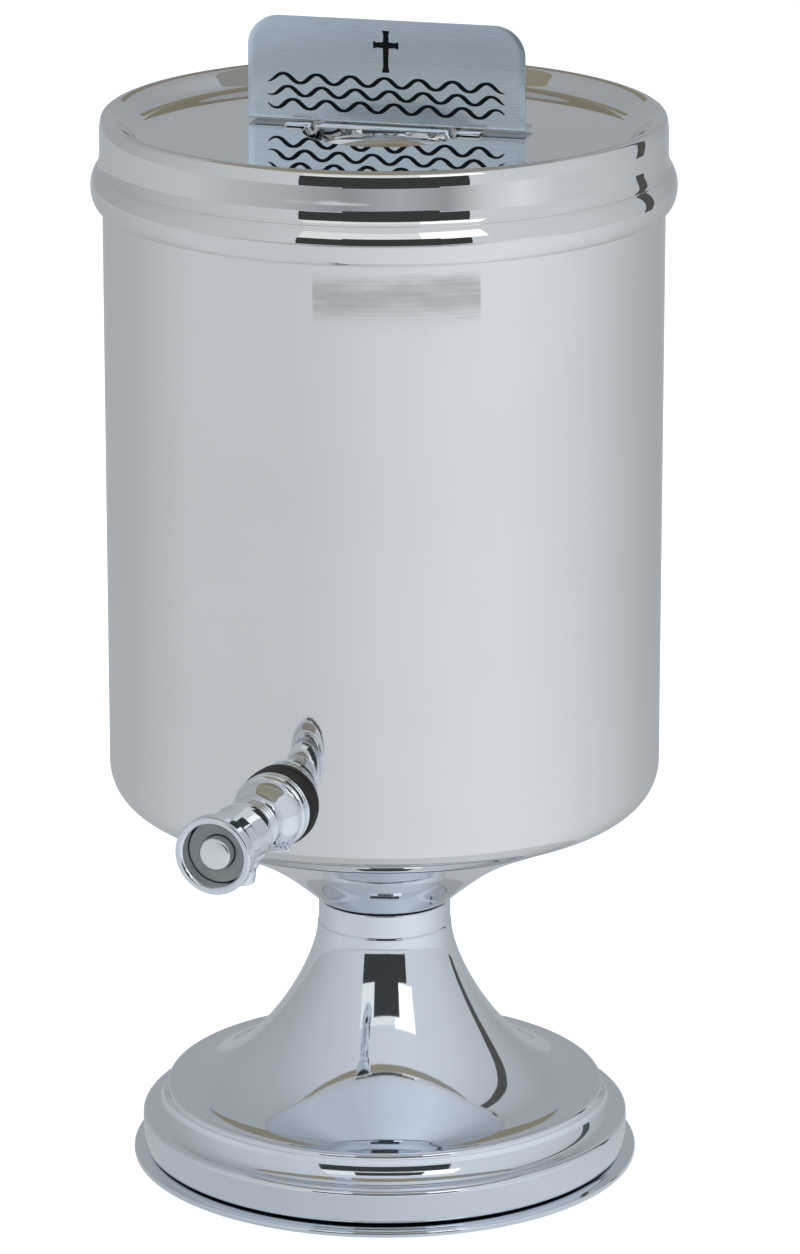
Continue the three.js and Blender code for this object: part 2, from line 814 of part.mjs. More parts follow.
// Assembly
const stand = new THREE.Group();
stand.add(
  named('tank', tankBody(), polishedSteel),
  named('tank_flare', tankFlare(), spunChrome),
  named('flare_gasket', tube(
    boreOfTie, pedestal.gasketRadius, collarTop, flareBottom, bigFacets,
  ), blackRubber),
  named('collar_ring', collarRing(), spunChrome),
  named('foot_shell', footShell(), spunChrome),
  named('tie_rod', rod(
    tie.radius, rodBottom, capBottom + tie.capHexHeight - seatGap, smallFacets,
  ), plainSteel),
  named('tank_seal_washer', tube(
    boreOfTie, tie.sealRadius, sealBottom, capBottom, smallFacets,
  ), blackRubber),
  named('tie_cap_nut', tieCapNut(), plainSteel),
  named('foot_spreader', tube(
    boreOfTie, tie.spreaderRadius, lockWasherTop, spreaderTop, smallFacets,
  ), plainSteel),
  named('foot_lock_washer', tube(
    boreOfTie, tie.lockWasherRadius, lockNutTop, lockWasherTop, smallFacets,
  ), plainSteel),
  named('foot_lock_nut', hexNut(
    tie.nutFlats, boreOfTie, lockNutTop - tie.nutHeight, lockNutTop,
  ), plainSteel),
  named('tap_gasket_outer', tapGasketOuter(), blackRubber),
  named('tap_gasket_inner', tapGasketInner(), blackRubber),
);

const tapGroup = new THREE.Group();
tapGroup.position.set(0, -tank.radius, tapHeight);
tapGroup.rotation.x = Math.PI / 2;
const shankBore = tap.shankRadius + seatGap;
tapGroup.add(
  named('tap_inner_washer', tube(
    shankBore, tap.innerSealRadius, lockTop, innerWasherTop, smallFacets,
  ), plainSteel),
  named('tap_lock_nut', hexNut(tap.lockFlats, shankBore, lockTop - tap.lockHeight, lockTop), plainSteel),
  named('tap_collar', tapCollar(), spunChrome),
  named('tap_body', tapBody(), spunChrome),
  named('tap_front_ring', tapFrontRing(), spunChrome),
  named('tap_guide', tapGuide(), greyPlastic),
  named('push_button', pushButton(), spunChrome),
  named('valve_stem', valveStem(), plainSteel),
  named('valve_seal', tube(
    valve.stemRadius + valve.sealFit, valve.sealRadius, sealStart, sealEnd, smallFacets,
  ), blackRubber),
  named('return_spring', returnSpring(), plainSteel),
  named('tap_screw', tapScrew(), spunChrome),
);

const lidGroup = new THREE.Group();
lidGroup.rotation.z = THREE.MathUtils.degToRad(lid.turn);
const holes = rivetHoles(rivet.shank + rivet.clearance);
lidGroup.add(
  named('lid_cover', lidCover(), polishedSteel),
  named('lid_strap', cut(lidStrap(), ...holes), polishedSteel),
  named('sign_plate', cut(signPlate(), ...holes), satinSheet),
  named('sign_rivet_left', signRivet(-1), plainSteel),
  named('sign_rivet_right', signRivet(1), plainSteel),
);

const urn = new THREE.Group();
urn.position.y = axisShift;
urn.add(stand, tapGroup, lidGroup);

export default urn;
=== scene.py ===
"""Holy water urn: a drawn tank with a lift-off lid on a spun foot, with a push-button tap.

Laid out as a Blender add-on with one operator for each group of pieces, and run as a script.
Lengths are metres. +Z is up, and the tap points along -Y.
"""
import json
import math

import bmesh
import bpy
import numpy as np
from bpy.props import FloatProperty, FloatVectorProperty, IntProperty, PointerProperty
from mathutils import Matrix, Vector


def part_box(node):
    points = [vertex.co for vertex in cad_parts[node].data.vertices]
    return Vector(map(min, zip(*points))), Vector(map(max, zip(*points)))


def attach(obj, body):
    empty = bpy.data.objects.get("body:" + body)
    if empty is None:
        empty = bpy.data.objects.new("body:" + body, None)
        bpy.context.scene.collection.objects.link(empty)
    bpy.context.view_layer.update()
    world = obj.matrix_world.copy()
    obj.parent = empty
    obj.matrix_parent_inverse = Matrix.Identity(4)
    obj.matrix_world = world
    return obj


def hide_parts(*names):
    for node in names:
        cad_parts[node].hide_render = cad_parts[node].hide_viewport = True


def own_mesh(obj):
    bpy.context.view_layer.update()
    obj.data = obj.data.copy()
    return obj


bl_info = {
    "name": "Holy water urn",
    "version": (1, 0, 0),
    "blender": (4, 5, 0),
    "location": "3D Viewport > Sidebar > Urn",
    "description": "Builds a covered water urn with a push-button tap",
    "category": "Add Mesh",
}

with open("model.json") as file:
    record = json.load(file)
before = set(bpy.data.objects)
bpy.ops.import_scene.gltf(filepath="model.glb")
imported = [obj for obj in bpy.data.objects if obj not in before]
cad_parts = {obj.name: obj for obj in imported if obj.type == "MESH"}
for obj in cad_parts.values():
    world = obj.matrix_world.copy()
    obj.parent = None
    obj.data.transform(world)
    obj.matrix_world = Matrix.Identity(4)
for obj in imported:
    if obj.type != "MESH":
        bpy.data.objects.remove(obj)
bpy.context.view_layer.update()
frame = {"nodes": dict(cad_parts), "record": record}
MM = 0.001
CAMERA_AZIMUTH = 21.5


def low(node, axis):
    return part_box(node)[0][axis]


def high(node, axis):
    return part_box(node)[1][axis]


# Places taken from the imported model
AXIS_Y = (low("tank", 1) + high("tank", 1)) / 2
TANK_BOTTOM = low("tank", 2)
TANK_TOP = high("tank", 2)
BEAD_REACH = high("tank", 0)
SKIRT_BOTTOM = low("lid_cover", 2)
SKIRT_RADIUS = high("lid_cover", 0)
CREST_TOP = high("lid_cover", 2)
SIGN_BOTTOM = low("sign_plate", 2)
SIGN_TOP = high("sign_plate", 2)
FLARE_BOTTOM = low("tank_flare", 2)
COLLAR_TOP = high("collar_ring", 2)
FOOT_TOP = high("foot_shell", 2)
TAP_Z = (low("tap_guide", 2) + high("tap_guide", 2)) / 2
RING_FACE = low("tap_front_ring", 1)
ROD_HOLE = 4.6 * MM


# Settings that a user would change
def length(name, value, text):
    """A length, given in millimetres."""
    return FloatProperty(
        name=name, description=text, default=value * MM, unit="LENGTH", precision=4
    )


def colour(name, value, text):
    return FloatVectorProperty(
        name=name, description=text, default=value, size=3, min=0, max=1, subtype="COLOR"
    )


def amount(name, value, text):
    return IntProperty(name=name, description=text, default=value, min=24)


class TankSettings(bpy.types.PropertyGroup):
    radius: length("Radius", 108, "Outside of the drawn wall")
    wall: length("Wall", 1, "Thickness of the sheet")
    corner: length("Corner", 17.5, "Rounding between wall and bottom")
    bead_drop: length("Bead drop", 22.65, "From the edge of the neck to the widest place")
    bead_tail: length("Bead tail", 8.2, "From the widest place down to the wall")
    bead_lower: FloatProperty(
        name="Bead's lower half", description="Below 1 it runs out full, above 1 hollow",
        default=0.42,
    )
    bead_blend: length("Bead blend", 0.8, "Rounding where the bead meets the wall")
    seam: length("Seam", 0.08, "Gap between the bead and the lid that sits on it")
    neck_step: length("Neck step", 0.4, "How much smaller the neck is than the wall")
    hole: length("Tap hole", 6.6, "Radius of the hole for the tap's shank")
    facets: amount("Facets", 288, "Faces round the tank")


class LidSettings(bpy.types.PropertyGroup):
    sheet: length("Sheet", 0.8, "Thickness of the pressing")
    crest: length("Crest", 2.2, "Rounding at the very top of the crest")
    crest_sweep: length("Crest sweep", 20, "Rounding from there to the upright skirt")
    crest_rise: length("Crest rise", 0.8, "How far the crest stands over the solid's")
    border: length("Border", 12, "Width of the slope from the crest to the panel")
    panel_depth: length("Panel depth", 6.8, "How far the panel lies under the crest")
    recess_radius: length("Recess radius", 32, "Finger recess in the panel")
    recess_depth: length("Recess depth", 12, "Depth of the finger recess")
    turn: FloatProperty(
        name="Turn", description="How far the lid is turned on the neck",
        default=math.radians(6.6), subtype="ANGLE",
    )
    strap_width: length("Strap width", 13, "Width of the grip strap")
    strap_setback: length("Strap setback", 2, "How far it lies behind the lid's axis")
    strap_sheet: length("Strap sheet", 0.7, "Thickness of the grip strap")


class SignSettings(bpy.types.PropertyGroup):
    width: length("Width", 109.4, "Width of the plate")
    sheet: length("Sheet", 0.9, "Thickness of the plate")
    corner: length("Corner", 12, "Rounding of the two upper corners")
    foot: length("Foot", 12, "Depth of the foot that lies on the lid")
    bend: length("Bend", 1, "Outside radius of the bend")
    setback: length("Setback", 2.6, "How far the face stands behind the lid's axis")
    cross_height: length("Cross height", 16.2, "Height of the cross")
    wave_width: length("Wave width", 94, "Width of the band of waves")
    wave_length: length("Wave length", 13.4, "From crest to crest")
    enamel: colour("Enamel", (0.003, 0.003, 0.003), "Colour of the inlaid figures")


class PedestalSettings(bpy.types.PropertyGroup):
    neck: length("Neck", 27, "Radius at the foot of the flare")
    flare: length("Flare", 94, "Radius where the flare meets the tank")
    gasket: length("Gasket", 25.1, "Radius of the rubber ring")
    collar: length("Collar", 26.1, "Outside radius of the collar")
    stem: length("Stem", 25.3, "Radius at the top of the foot")
    ledge: length("Ledge", 84.8, "Radius of the edge round the trumpet")
    ledge_height: length("Ledge height", 28.4, "Height of that edge")
    band: length("Band", 95.3, "Radius of the plain band")
    rim: length("Rim", 100.3, "Radius of the rolled rim")
    sheet: length("Sheet", 1.2, "Thickness of the spinning")
    facets: amount("Facets", 256, "Faces round the foot")


class TapSettings(bpy.types.PropertyGroup):
    gasket: length("Gasket", 15.2, "Radius of the outer rubber washer")
    collar: length("Collar", 14.6, "Radius of the grooved collar")
    bulb: length("Bulb", 14, "Radius of the bulb behind the neck")
    barrel: length("Barrel", 12.1, "Largest radius of the barrel")
    ring: length("Ring", 15, "Radius of the front ring")
    button: length("Button", 6.3, "Radius of the push button")
    spout: length("Spout", 6.4, "Radius of the spout")
    facets: amount("Facets", 128, "Faces round the tap")
    small_facets: amount("Small facets", 96, "Faces round its guide, button and spout")


class FinishSettings(bpy.types.PropertyGroup):
    steel: colour("Steel", (0.79, 0.79, 0.79), "Polished steel of the tank and the lid")
    chrome: colour("Chrome", (0.79, 0.825, 0.87), "Chrome of the pedestal and the tap")
    sheet: colour("Sheet", (0.76, 0.87, 1.0), "Satin sheet of the sign")
    satin: FloatProperty(
        name="Satin", description="Roughness of the tank's wall",
        default=0.05, min=0, max=1, subtype="FACTOR",
    )


# Outlines: arrays of (radius, height) rows
def points(*rows):
    """Numbers or rows as one array."""
    return np.array(rows, dtype=float)


def mm(*values):
    """Numbers or rows in millimetres, as metres."""
    return points(*values) * MM


def chain(*parts):
    """Rows and arrays of rows, one after the other."""
    return np.concatenate([np.atleast_2d(part) for part in parts])


def box_outline(hole, radius, bottom, top):
    """The four corners of a ring's section: from `hole` to `radius`, from bottom to top."""
    return points((hole, bottom), (radius, bottom), (radius, top), (hole, top))


def arc(centre, reach, start, end, steps):
    """Centre plus (reach * cos a, reach * sin a), with a in even steps from start to end."""
    angle = np.radians(np.linspace(start, end, steps + 1))
    return np.array(centre) + np.stack([np.cos(angle), np.sin(angle)], 1) * np.array(reach)


def bezier(a, b, c, d, steps):
    """The cubic curve from a to d with handles b and c."""
    t = np.linspace(0, 1, steps + 1)[:, None]
    a, b, c, d = (np.array(p) for p in (a, b, c, d))
    return (1 - t) ** 3 * a + 3 * t * (1 - t) ** 2 * b + 3 * t * t * (1 - t) * c + t ** 3 * d


def without_doubles(line):
    """Drops each row that lies on the row before it."""
    step = np.linalg.norm(np.diff(line, axis=0), axis=1)
    return line[np.concatenate([[True], step > 1e-7])]


def softened(line, reach, closed=False, sharper_than=22, steps=4):
    """Swaps each sharp corner for a parabola that leaves its sides `reach` from the corner.

    The parabola is (1-k)^2 A + 2k(1-k) P + k^2 B, with A and B on the two sides of corner P.
    """
    line = without_doubles(line)
    if closed and np.allclose(line[0], line[-1]):
        line = line[:-1]
    before = np.roll(line, 1, axis=0) - line
    after = np.roll(line, -1, axis=0) - line
    before_length = np.linalg.norm(before, axis=1, keepdims=True)
    after_length = np.linalg.norm(after, axis=1, keepdims=True)
    turn = np.sum(before * after, axis=1) / (before_length * after_length)[:, 0]
    sharp = turn > -math.cos(math.radians(sharper_than))
    if not closed:
        sharp[[0, -1]] = False
    near = np.minimum(reach, 0.45 * np.minimum(before_length, after_length))
    near = np.where(sharp[:, None], near, 0)[:, :, None]
    k = np.linspace(0, 1, steps + 1)[None, :, None]
    start = line[:, None] + (before / before_length)[:, None] * near
    end = line[:, None] + (after / after_length)[:, None] * near
    curve = (1 - k) ** 2 * start + 2 * k * (1 - k) * line[:, None] + k * k * end
    return without_doubles(curve.reshape(-1, 2))


def supported(line, closed=False, guard=0.25 * MM, least=2.5 * MM, longest=6 * MM):
    """Adds rows on straight stretches: one near each end, and more in even steps."""
    ends = np.roll(line, -1, axis=0) if closed else line[1:]
    starts = line if closed else line[:-1]
    span = np.linalg.norm(ends - starts, axis=1)
    pieces = []
    for start, end, size in zip(starts, ends, span):
        if size < least:
            places = np.array([0.0])
        else:
            inner = np.linspace(guard, size - guard, max(2, math.ceil(size / longest) + 1))
            places = np.concatenate([[0.0], inner]) / size
        pieces.append(start + places[:, None] * (end - start))
    if not closed:
        pieces.append(line[-1:])
    return np.concatenate(pieces)


def offset(line, distance):
    """Moves an open line to the right of its direction, mitred at its corners."""
    step = np.diff(line, axis=0)
    step /= np.linalg.norm(step, axis=1, keepdims=True)
    normal = np.stack([step[:, 1], -step[:, 0]], 1)
    before = np.concatenate([normal[:1], normal])
    after = np.concatenate([normal, normal[-1:]])
    middle = before + after
    middle /= np.linalg.norm(middle, axis=1, keepdims=True)
    return line + middle * distance / np.sum(middle * before, axis=1, keepdims=True)


def sheet_wall(line, thickness):
    """A closed outline: the line, and the same line moved by the sheet's thickness."""
    return chain(line, offset(line, thickness)[::-1])


# Meshes
def on_axis(place):
    """Local x, y, z to the urn: the origin moves to the foot of the tank's axis."""
    return place + np.array([0, AXIS_Y, 0])


def on_lid(place, turn):
    """The lid's own x, y, z to the urn, turned about the tank's axis."""
    x = place[:, 0] * math.cos(turn) - place[:, 1] * math.sin(turn)
    y = place[:, 0] * math.sin(turn) + place[:, 1] * math.cos(turn)
    return on_axis(np.stack([x, y, place[:, 2]], 1))


def on_tap(place):
    """Local x, y, s to the urn: y is up, and s runs out from the tank's wall along -Y."""
    wall = AXIS_Y - bpy.context.scene.urn_tank.radius
    return np.stack([place[:, 0], wall - place[:, 2], place[:, 1] + TAP_Z], 1)


def mesh_piece(name, place, faces):
    mesh = bpy.data.meshes.new(name)
    mesh.from_pydata(place.tolist(), [], faces)
    piece = bpy.data.objects.new(name, mesh)
    bpy.context.scene.collection.objects.link(piece)
    tidy_mesh(mesh)
    return piece


def tidy_mesh(mesh, sharp=38):
    """Merges doubles, turns a closed shell's faces outwards and shades it smooth."""
    work = bmesh.new()
    work.from_mesh(mesh)
    bmesh.ops.remove_doubles(work, verts=work.verts, dist=1e-7)
    bmesh.ops.dissolve_degenerate(work, edges=work.edges, dist=1e-8)
    if all(edge.is_manifold for edge in work.edges) and work.calc_volume(signed=True) < 0:
        bmesh.ops.reverse_faces(work, faces=work.faces)
    work.to_mesh(mesh)
    work.free()
    mesh.polygons.foreach_set("use_smooth", [True] * len(mesh.polygons))
    mesh.set_sharp_from_angle(angle=math.radians(sharp))


def grid_faces(rows, columns, wrap_rows=False, wrap_columns=False):
    """Quads of a grid whose vertex (i, j) has the number i * columns + j."""
    i = np.arange(rows if wrap_rows else rows - 1)[:, None]
    j = np.arange(columns if wrap_columns else columns - 1)[None, :]
    near, far = i * columns, (i + 1) % rows * columns
    right = (j + 1) % columns
    return np.stack([near + j, far + j, far + right, near + right], -1).reshape(-1, 4).tolist()


def revolve(name, outline, facets, place=on_axis, closed=True, soft=0, steps=4):
    """Turns an outline about the axis: (r cos a, r sin a, z), with a in even steps.

    Where soft is a length, the outline's corners are softened by it first.
    """
    if soft:
        outline = softened(outline, soft, closed, steps=steps)
    outline = supported(outline, closed)
    angle = np.arange(facets)[:, None] * (2 * math.pi / facets)
    radius, height = outline[:, 0][None], outline[:, 1][None]
    grid = np.stack([radius * np.cos(angle), radius * np.sin(angle), height + 0 * angle], -1)
    faces = grid_faces(facets, len(outline), wrap_rows=True, wrap_columns=closed)
    return mesh_piece(name, place(grid.reshape(-1, 3)), faces)


def prism(name, outline, depth, place):
    """A flat outline, carried straight through `depth` and capped at both ends."""
    count = len(outline)
    near = np.column_stack([outline, np.full(count, depth[0])])
    far = np.column_stack([outline, np.full(count, depth[1])])
    faces = grid_faces(2, count, wrap_columns=True)
    faces += [list(range(count)), list(range(2 * count - 1, count - 1, -1))]
    return mesh_piece(name, place(chain(near, far)), faces)


def apply_modifiers(piece):
    """Makes the piece's mesh the finished shape."""
    graph = bpy.context.evaluated_depsgraph_get()
    made = bpy.data.meshes.new_from_object(piece.evaluated_get(graph))
    piece.modifiers.clear()
    piece.data = made
    tidy_mesh(made)
    return piece


def combine(piece, tool, operation):
    """Joins the tool to the piece, or cuts it out, and deletes the tool."""
    change = piece.modifiers.new(operation.title(), "BOOLEAN")
    change.operation = operation
    change.solver = "EXACT"
    change.object = tool
    bpy.context.view_layer.update()
    apply_modifiers(piece)
    bpy.data.objects.remove(tool)


def bore(piece, radius, start, end, facets, place):
    """Drills the piece from start to end on the axis of `place`."""
    drill = points((0, start), (radius, start), (radius, end), (0, end))
    combine(piece, revolve("drill", drill, facets, place, closed=False), "DIFFERENCE")


def round_edges(piece, width, segments=2, angle=40):
    """Rounds each edge that turns by more than the angle, over the width."""
    bevel = piece.modifiers.new("Edges", "BEVEL")
    bevel.width = width
    bevel.segments = segments
    bevel.limit_method = "ANGLE"
    bevel.angle_limit = math.radians(angle)
    return apply_modifiers(piece)


def fit(piece, body, slot, *nodes, look=None):
    """Gives a piece its finish and its body, and hides the solids that it stands for."""
    piece.data.materials.clear()
    piece.data.materials.append(finish(look or slot))
    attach(piece, body)
    if nodes:
        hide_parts(*nodes)


# Finishes
def arithmetic(operation, swapped=False):
    """A method that joins a signal and another term in a Math node."""
    def joined(self, other):
        return self.math(operation, *((other, self) if swapped else (self, other)))
    return joined


class Signal:
    """One output socket; arithmetic on it adds Math nodes."""

    __add__ = __radd__ = arithmetic("ADD")
    __mul__ = __rmul__ = arithmetic("MULTIPLY")
    __sub__ = arithmetic("SUBTRACT")
    __rsub__ = arithmetic("SUBTRACT", swapped=True)
    __truediv__ = arithmetic("DIVIDE")
    __pow__ = arithmetic("POWER")

    def __init__(self, tree, socket):
        self.tree = tree
        self.socket = socket

    def math(self, operation, *terms, clamp=False):
        settings = {"operation": operation, "use_clamp": clamp}
        return add_node(self.tree, "ShaderNodeMath", settings, ports=dict(enumerate(terms)))

    def above(self, edge, softness):
        """0 under the edge and 1 over it, with a straight ramp between."""
        return self.math("DIVIDE", self - edge, softness, clamp=True)

    def output(self, name):
        return Signal(self.tree, self.socket.node.outputs[name])


def add_node(tree, kind, settings=None, output=0, ports=None, **values):
    """Adds a node and returns one output.

    Its settings are set first, then its sockets, by number in `ports` and by name in `values`.
    """
    made = tree.nodes.new(kind)
    for key, value in (settings or {}).items():
        if key == "stops":
            set_stops(made.color_ramp.elements, value)
        else:
            setattr(made, key, value)
    feed(tree, made, ports or {})
    feed(tree, made, {key.replace("_", " "): value for key, value in values.items()})
    return Signal(tree, made.outputs[output])


def set_stops(elements, stops):
    """Gives a ramp its positions and tones."""
    while len(elements) < len(stops):
        elements.new(1.0)
    for element, (position, tone) in zip(elements, stops):
        element.position = position
        element.color = tone


def feed(tree, node, values):
    """Links or sets a node's sockets."""
    for port, value in values.items():
        if isinstance(value, Signal):
            tree.links.new(value.socket, node.inputs[port])
        else:
            node.inputs[port].default_value = value


class Finish:
    """A material under construction, with its patterns in the piece's own metres."""

    def __init__(self, name):
        self.material = bpy.data.materials.new(name)
        self.material.use_nodes = True
        self.tree = self.material.node_tree
        self.shader = self.tree.nodes["Principled BSDF"]
        self.place = self.node("ShaderNodeTexCoord", output="Object")

    def node(self, kind, *settings, **values):
        return add_node(self.tree, kind, *settings, **values)

    def noise(self, detail, roughness, x, y=None, z=None):
        """Noise with so many waves to the metre, along each axis or all round."""
        place = self.node("ShaderNodeMapping", Vector=self.place, Scale=(x, y or x, z or x))
        return self.node(
            "ShaderNodeTexNoise", Vector=place, Scale=1, Detail=detail, Roughness=roughness
        )

    def mix(self, factor, first, second):
        ports = {0: factor, 6: first, 7: second}
        return self.node("ShaderNodeMix", {"data_type": "RGBA"}, 2, ports)

    def uneven(self, factor, tone, spread):
        """The tone, a little darker and a little paler from place to place."""
        return self.mix(factor, rgba(tone, 1 - spread), rgba(tone, 1 + spread))

    def shade(self, **values):
        feed(self.tree, self.shader, {key.replace("_", " "): values[key] for key in values})
        return self.material

    def surface(self, base, rough, bump, **values):
        """Base colour, roughness, and a bump's height, strength and distance."""
        height, strength, distance = bump
        normal = self.node("ShaderNodeBump", Height=height, Strength=strength, Distance=distance)
        return self.shade(Base_Color=base, Roughness=rough, Normal=normal, **values)


def rgba(tone, factor=1.0):
    """Red, green and blue times the factor, up to 1, and full alpha."""
    return (*[min(1.0, part * factor) for part in tone], 1.0)


def polished_steel():
    """Drawn pot: fine lines round the wall, cloudy polish and a few handling marks."""
    tones = bpy.context.scene.urn_finish
    steel = Finish("polished_steel_finish")
    height = steel.node("ShaderNodeSeparateXYZ", Vector=steel.place).output("Z")
    mirror = height.above(TANK_TOP - 36 * MM, 4 * MM)
    lines = steel.noise(4, 0.7, 3, 3, 900)
    cloud = steel.noise(3, 0.5, 9, 9, 14)
    marks = steel.noise(2, 0.4, 260, 260, 40).above(0.68, 0.08)
    waves = steel.noise(2, 0.4, 34, 34, 60)
    base = steel.uneven(cloud, tones.steel, 0.045)
    satin = tones.satin * (1 - mirror) + 0.01 * mirror
    rough = satin + ((lines - 0.5) * 0.02 + (cloud - 0.5) * 0.015 + marks * 0.02) * (1.1 - mirror)
    return steel.surface(base, rough, (waves + lines * 0.05, 0.02, 0.002), Metallic=1.0)


def spun_chrome():
    """Bright plating: almost a mirror, slightly uneven, with painted shade in the groove over the
    rim.
    """
    tones = bpy.context.scene.urn_finish
    chrome = Finish("spun_chrome_finish")
    cloud = chrome.noise(2, 0.5, 24)
    dust = chrome.noise(2, 0.6, 900).above(0.62, 0.1)
    rings = chrome.noise(3, 0.6, 2, 2, 420)
    waves = chrome.noise(2, 0.4, 40)
    place = chrome.node("ShaderNodeSeparateXYZ", Vector=chrome.place)
    height, across = place.output("Z"), place.output("Y") - AXIS_Y
    radius = (place * place + across * across) ** 0.5
    inside = 1 - radius.above(95 * MM, 0.3 * MM)
    # Painted shade: the groove between the band and the rim is coloured near black, and made
    # rougher.
    groove_shade = inside * height.above(3.8 * MM, 0.2 * MM) * (1 - height.above(5.9 * MM, 0.2 * MM))
    base = chrome.mix(groove_shade, chrome.uneven(cloud, tones.chrome, 0.03), (0.02, 0.02, 0.02, 1))
    rough = 0.035 + cloud * 0.02 + dust * 0.03 + groove_shade * 0.3
    return chrome.surface(base, rough, (waves + rings * 0.01, 0.06, 0.002), Metallic=1.0)


def satin_sheet():
    """Rolled sheet: straight grain along the plate under a fine satin."""
    sheet = Finish("satin_sheet_finish")
    grain = sheet.noise(4, 0.7, 14, 14, 1500)
    base = sheet.uneven(sheet.noise(2, 0.5, 30), bpy.context.scene.urn_finish.sheet, 0.04)
    return sheet.surface(base, 0.28 + (grain - 0.5) * 0.08, (grain, 0.06, 0.0003), Metallic=1.0)


def plain_steel():
    """Stamped and turned parts: duller, with crossed tool marks and a little grime."""
    steel = Finish("plain_steel_finish")
    marks = steel.noise(4, 0.7, 300, 300, 2200)
    grime = steel.noise(3, 0.6, 120).above(0.55, 0.25)
    base = steel.mix(grime, (0.56, 0.56, 0.55, 1), (0.36, 0.35, 0.33, 1))
    rough = 0.27 + marks * 0.12 + grime * 0.12
    return steel.surface(base, rough, (marks, 0.1, 0.0003), Metallic=1.0)


def black_rubber():
    """Moulded rubber: matt, with a fine grain and a paler bloom in places."""
    rubber = Finish("black_rubber_finish")
    grain, bloom = rubber.noise(3, 0.6, 1800), rubber.noise(3, 0.6, 90)
    base = rubber.mix(bloom, (0.012, 0.011, 0.010, 1), (0.034, 0.032, 0.030, 1))
    rough = 0.5 + bloom * 0.2
    return rubber.surface(base, rough, (grain, 0.25, 0.0002), Specular_IOR_Level=0.22)


def grey_plastic():
    """Moulded guide: mid grey with a fine spark-eroded grain."""
    plastic = Finish("grey_plastic_finish")
    grain, cloud = plastic.noise(3, 0.6, 1500), plastic.noise(2, 0.5, 140)
    base = plastic.mix(cloud, (0.29, 0.315, 0.32, 1), (0.38, 0.41, 0.415, 1))
    return plastic.surface(base, 0.42 + grain * 0.1, (grain, 0.12, 0.0002))


def button_metal():
    """Satin face of the button."""
    metal = Finish("button_metal")
    cloud, grain = metal.noise(2, 0.5, 200), metal.noise(4, 0.7, 900)
    base = metal.mix(cloud, (0.80, 0.83, 0.86, 1), (0.86, 0.88, 0.90, 1))
    return metal.surface(base, 0.2 + grain * 0.08, (grain, 0.02, 0.0002), Metallic=1.0)


def enamel():
    """Black inlay: glossy, very slightly uneven."""
    black = Finish("enamel")
    wave = black.noise(2, 0.5, 400)
    tone = bpy.context.scene.urn_sign.enamel
    base = black.mix(wave, rgba(tone, 0.8), rgba(tone, 1.4))
    rough = 0.4 + wave * 0.1
    return black.surface(base, rough, (wave, 0.08, 0.0002), Specular_IOR_Level=0.15)


MAKERS = {maker.__name__: maker for maker in (
    polished_steel, spun_chrome, satin_sheet, plain_steel, black_rubber, grey_plastic,
    button_metal, enamel,
)}
MADE = {}


def finish(name):
    """One material for each finish, made the first time it is asked for."""
    if name not in MADE:
        MADE[name] = MAKERS[name]()
    return MADE[name]


# Shapes
# How far the side of bead and skirt leans inwards, in degrees, at heights over the widest place
SIDE_RISE = points(0, 2.35, 4.95, 7.35, 8.95, 12, 14.6) * MM
SIDE_LEAN = points(0, 12, 24, 33, 13, 3, 0)


def bead_side(tank):
    """One swept side from the widest place of the bead up into the skirt of the lid.

    The radius falls by the integral of tan(lean) over the height.
    """
    rise = np.linspace(0, SIDE_RISE[-1], 60)
    slope = np.tan(np.radians(np.interp(rise, SIDE_RISE, SIDE_LEAN)))
    fall = np.concatenate([[0], np.cumsum((slope[1:] + slope[:-1]) / 2)])
    radius = BEAD_REACH - (BEAD_REACH - SKIRT_RADIUS) * fall / fall[-1]
    return np.column_stack([radius, TANK_TOP - tank.bead_drop + rise])


def tank_line(tank):
    """Outside of the pot, from the hole in its bottom to the edge of its neck.

    The lower half of the bead stands out by reach * (1 - u^2)^p, with u from -1 to 0.
    """
    corner_centre = (tank.radius - tank.corner, TANK_BOTTOM + tank.corner)
    level = -np.cos(np.radians(np.linspace(0, 88, 29)))
    swell = (BEAD_REACH - tank.radius) * (1 - level ** 2) ** tank.bead_lower
    widest = TANK_TOP - tank.bead_drop
    side = bead_side(tank)
    seat = SKIRT_BOTTOM - tank.seam
    side = side[side[:, 1] < seat - 0.05 * MM]
    neck = tank.radius - tank.neck_step
    line = chain(
        (ROD_HOLE, TANK_BOTTOM),
        arc(corner_centre, (tank.corner, tank.corner), -90, 0, 24),
        np.column_stack([tank.radius + swell, widest + level * tank.bead_tail]),
        side,
    )
    line = softened(line, tank.bead_blend, steps=6)
    rim = points((side[-1, 0] - 0.05 * MM, seat), (neck, seat), (neck, TANK_TOP))
    return chain(line, rim)


def pot_wall(line, tank):
    """Closed outline: the outside, and a plain inside at the wall's thickness from it."""
    inner = tank.radius - tank.neck_step - tank.wall
    corner = tank.corner - tank.wall
    bottom = TANK_BOTTOM + tank.wall
    inside = chain(
        (inner, TANK_TOP),
        arc((inner - corner, bottom + corner), (corner, corner), 0, -90, 24),
        (line[0, 0], bottom),
    )
    return chain(line, inside)


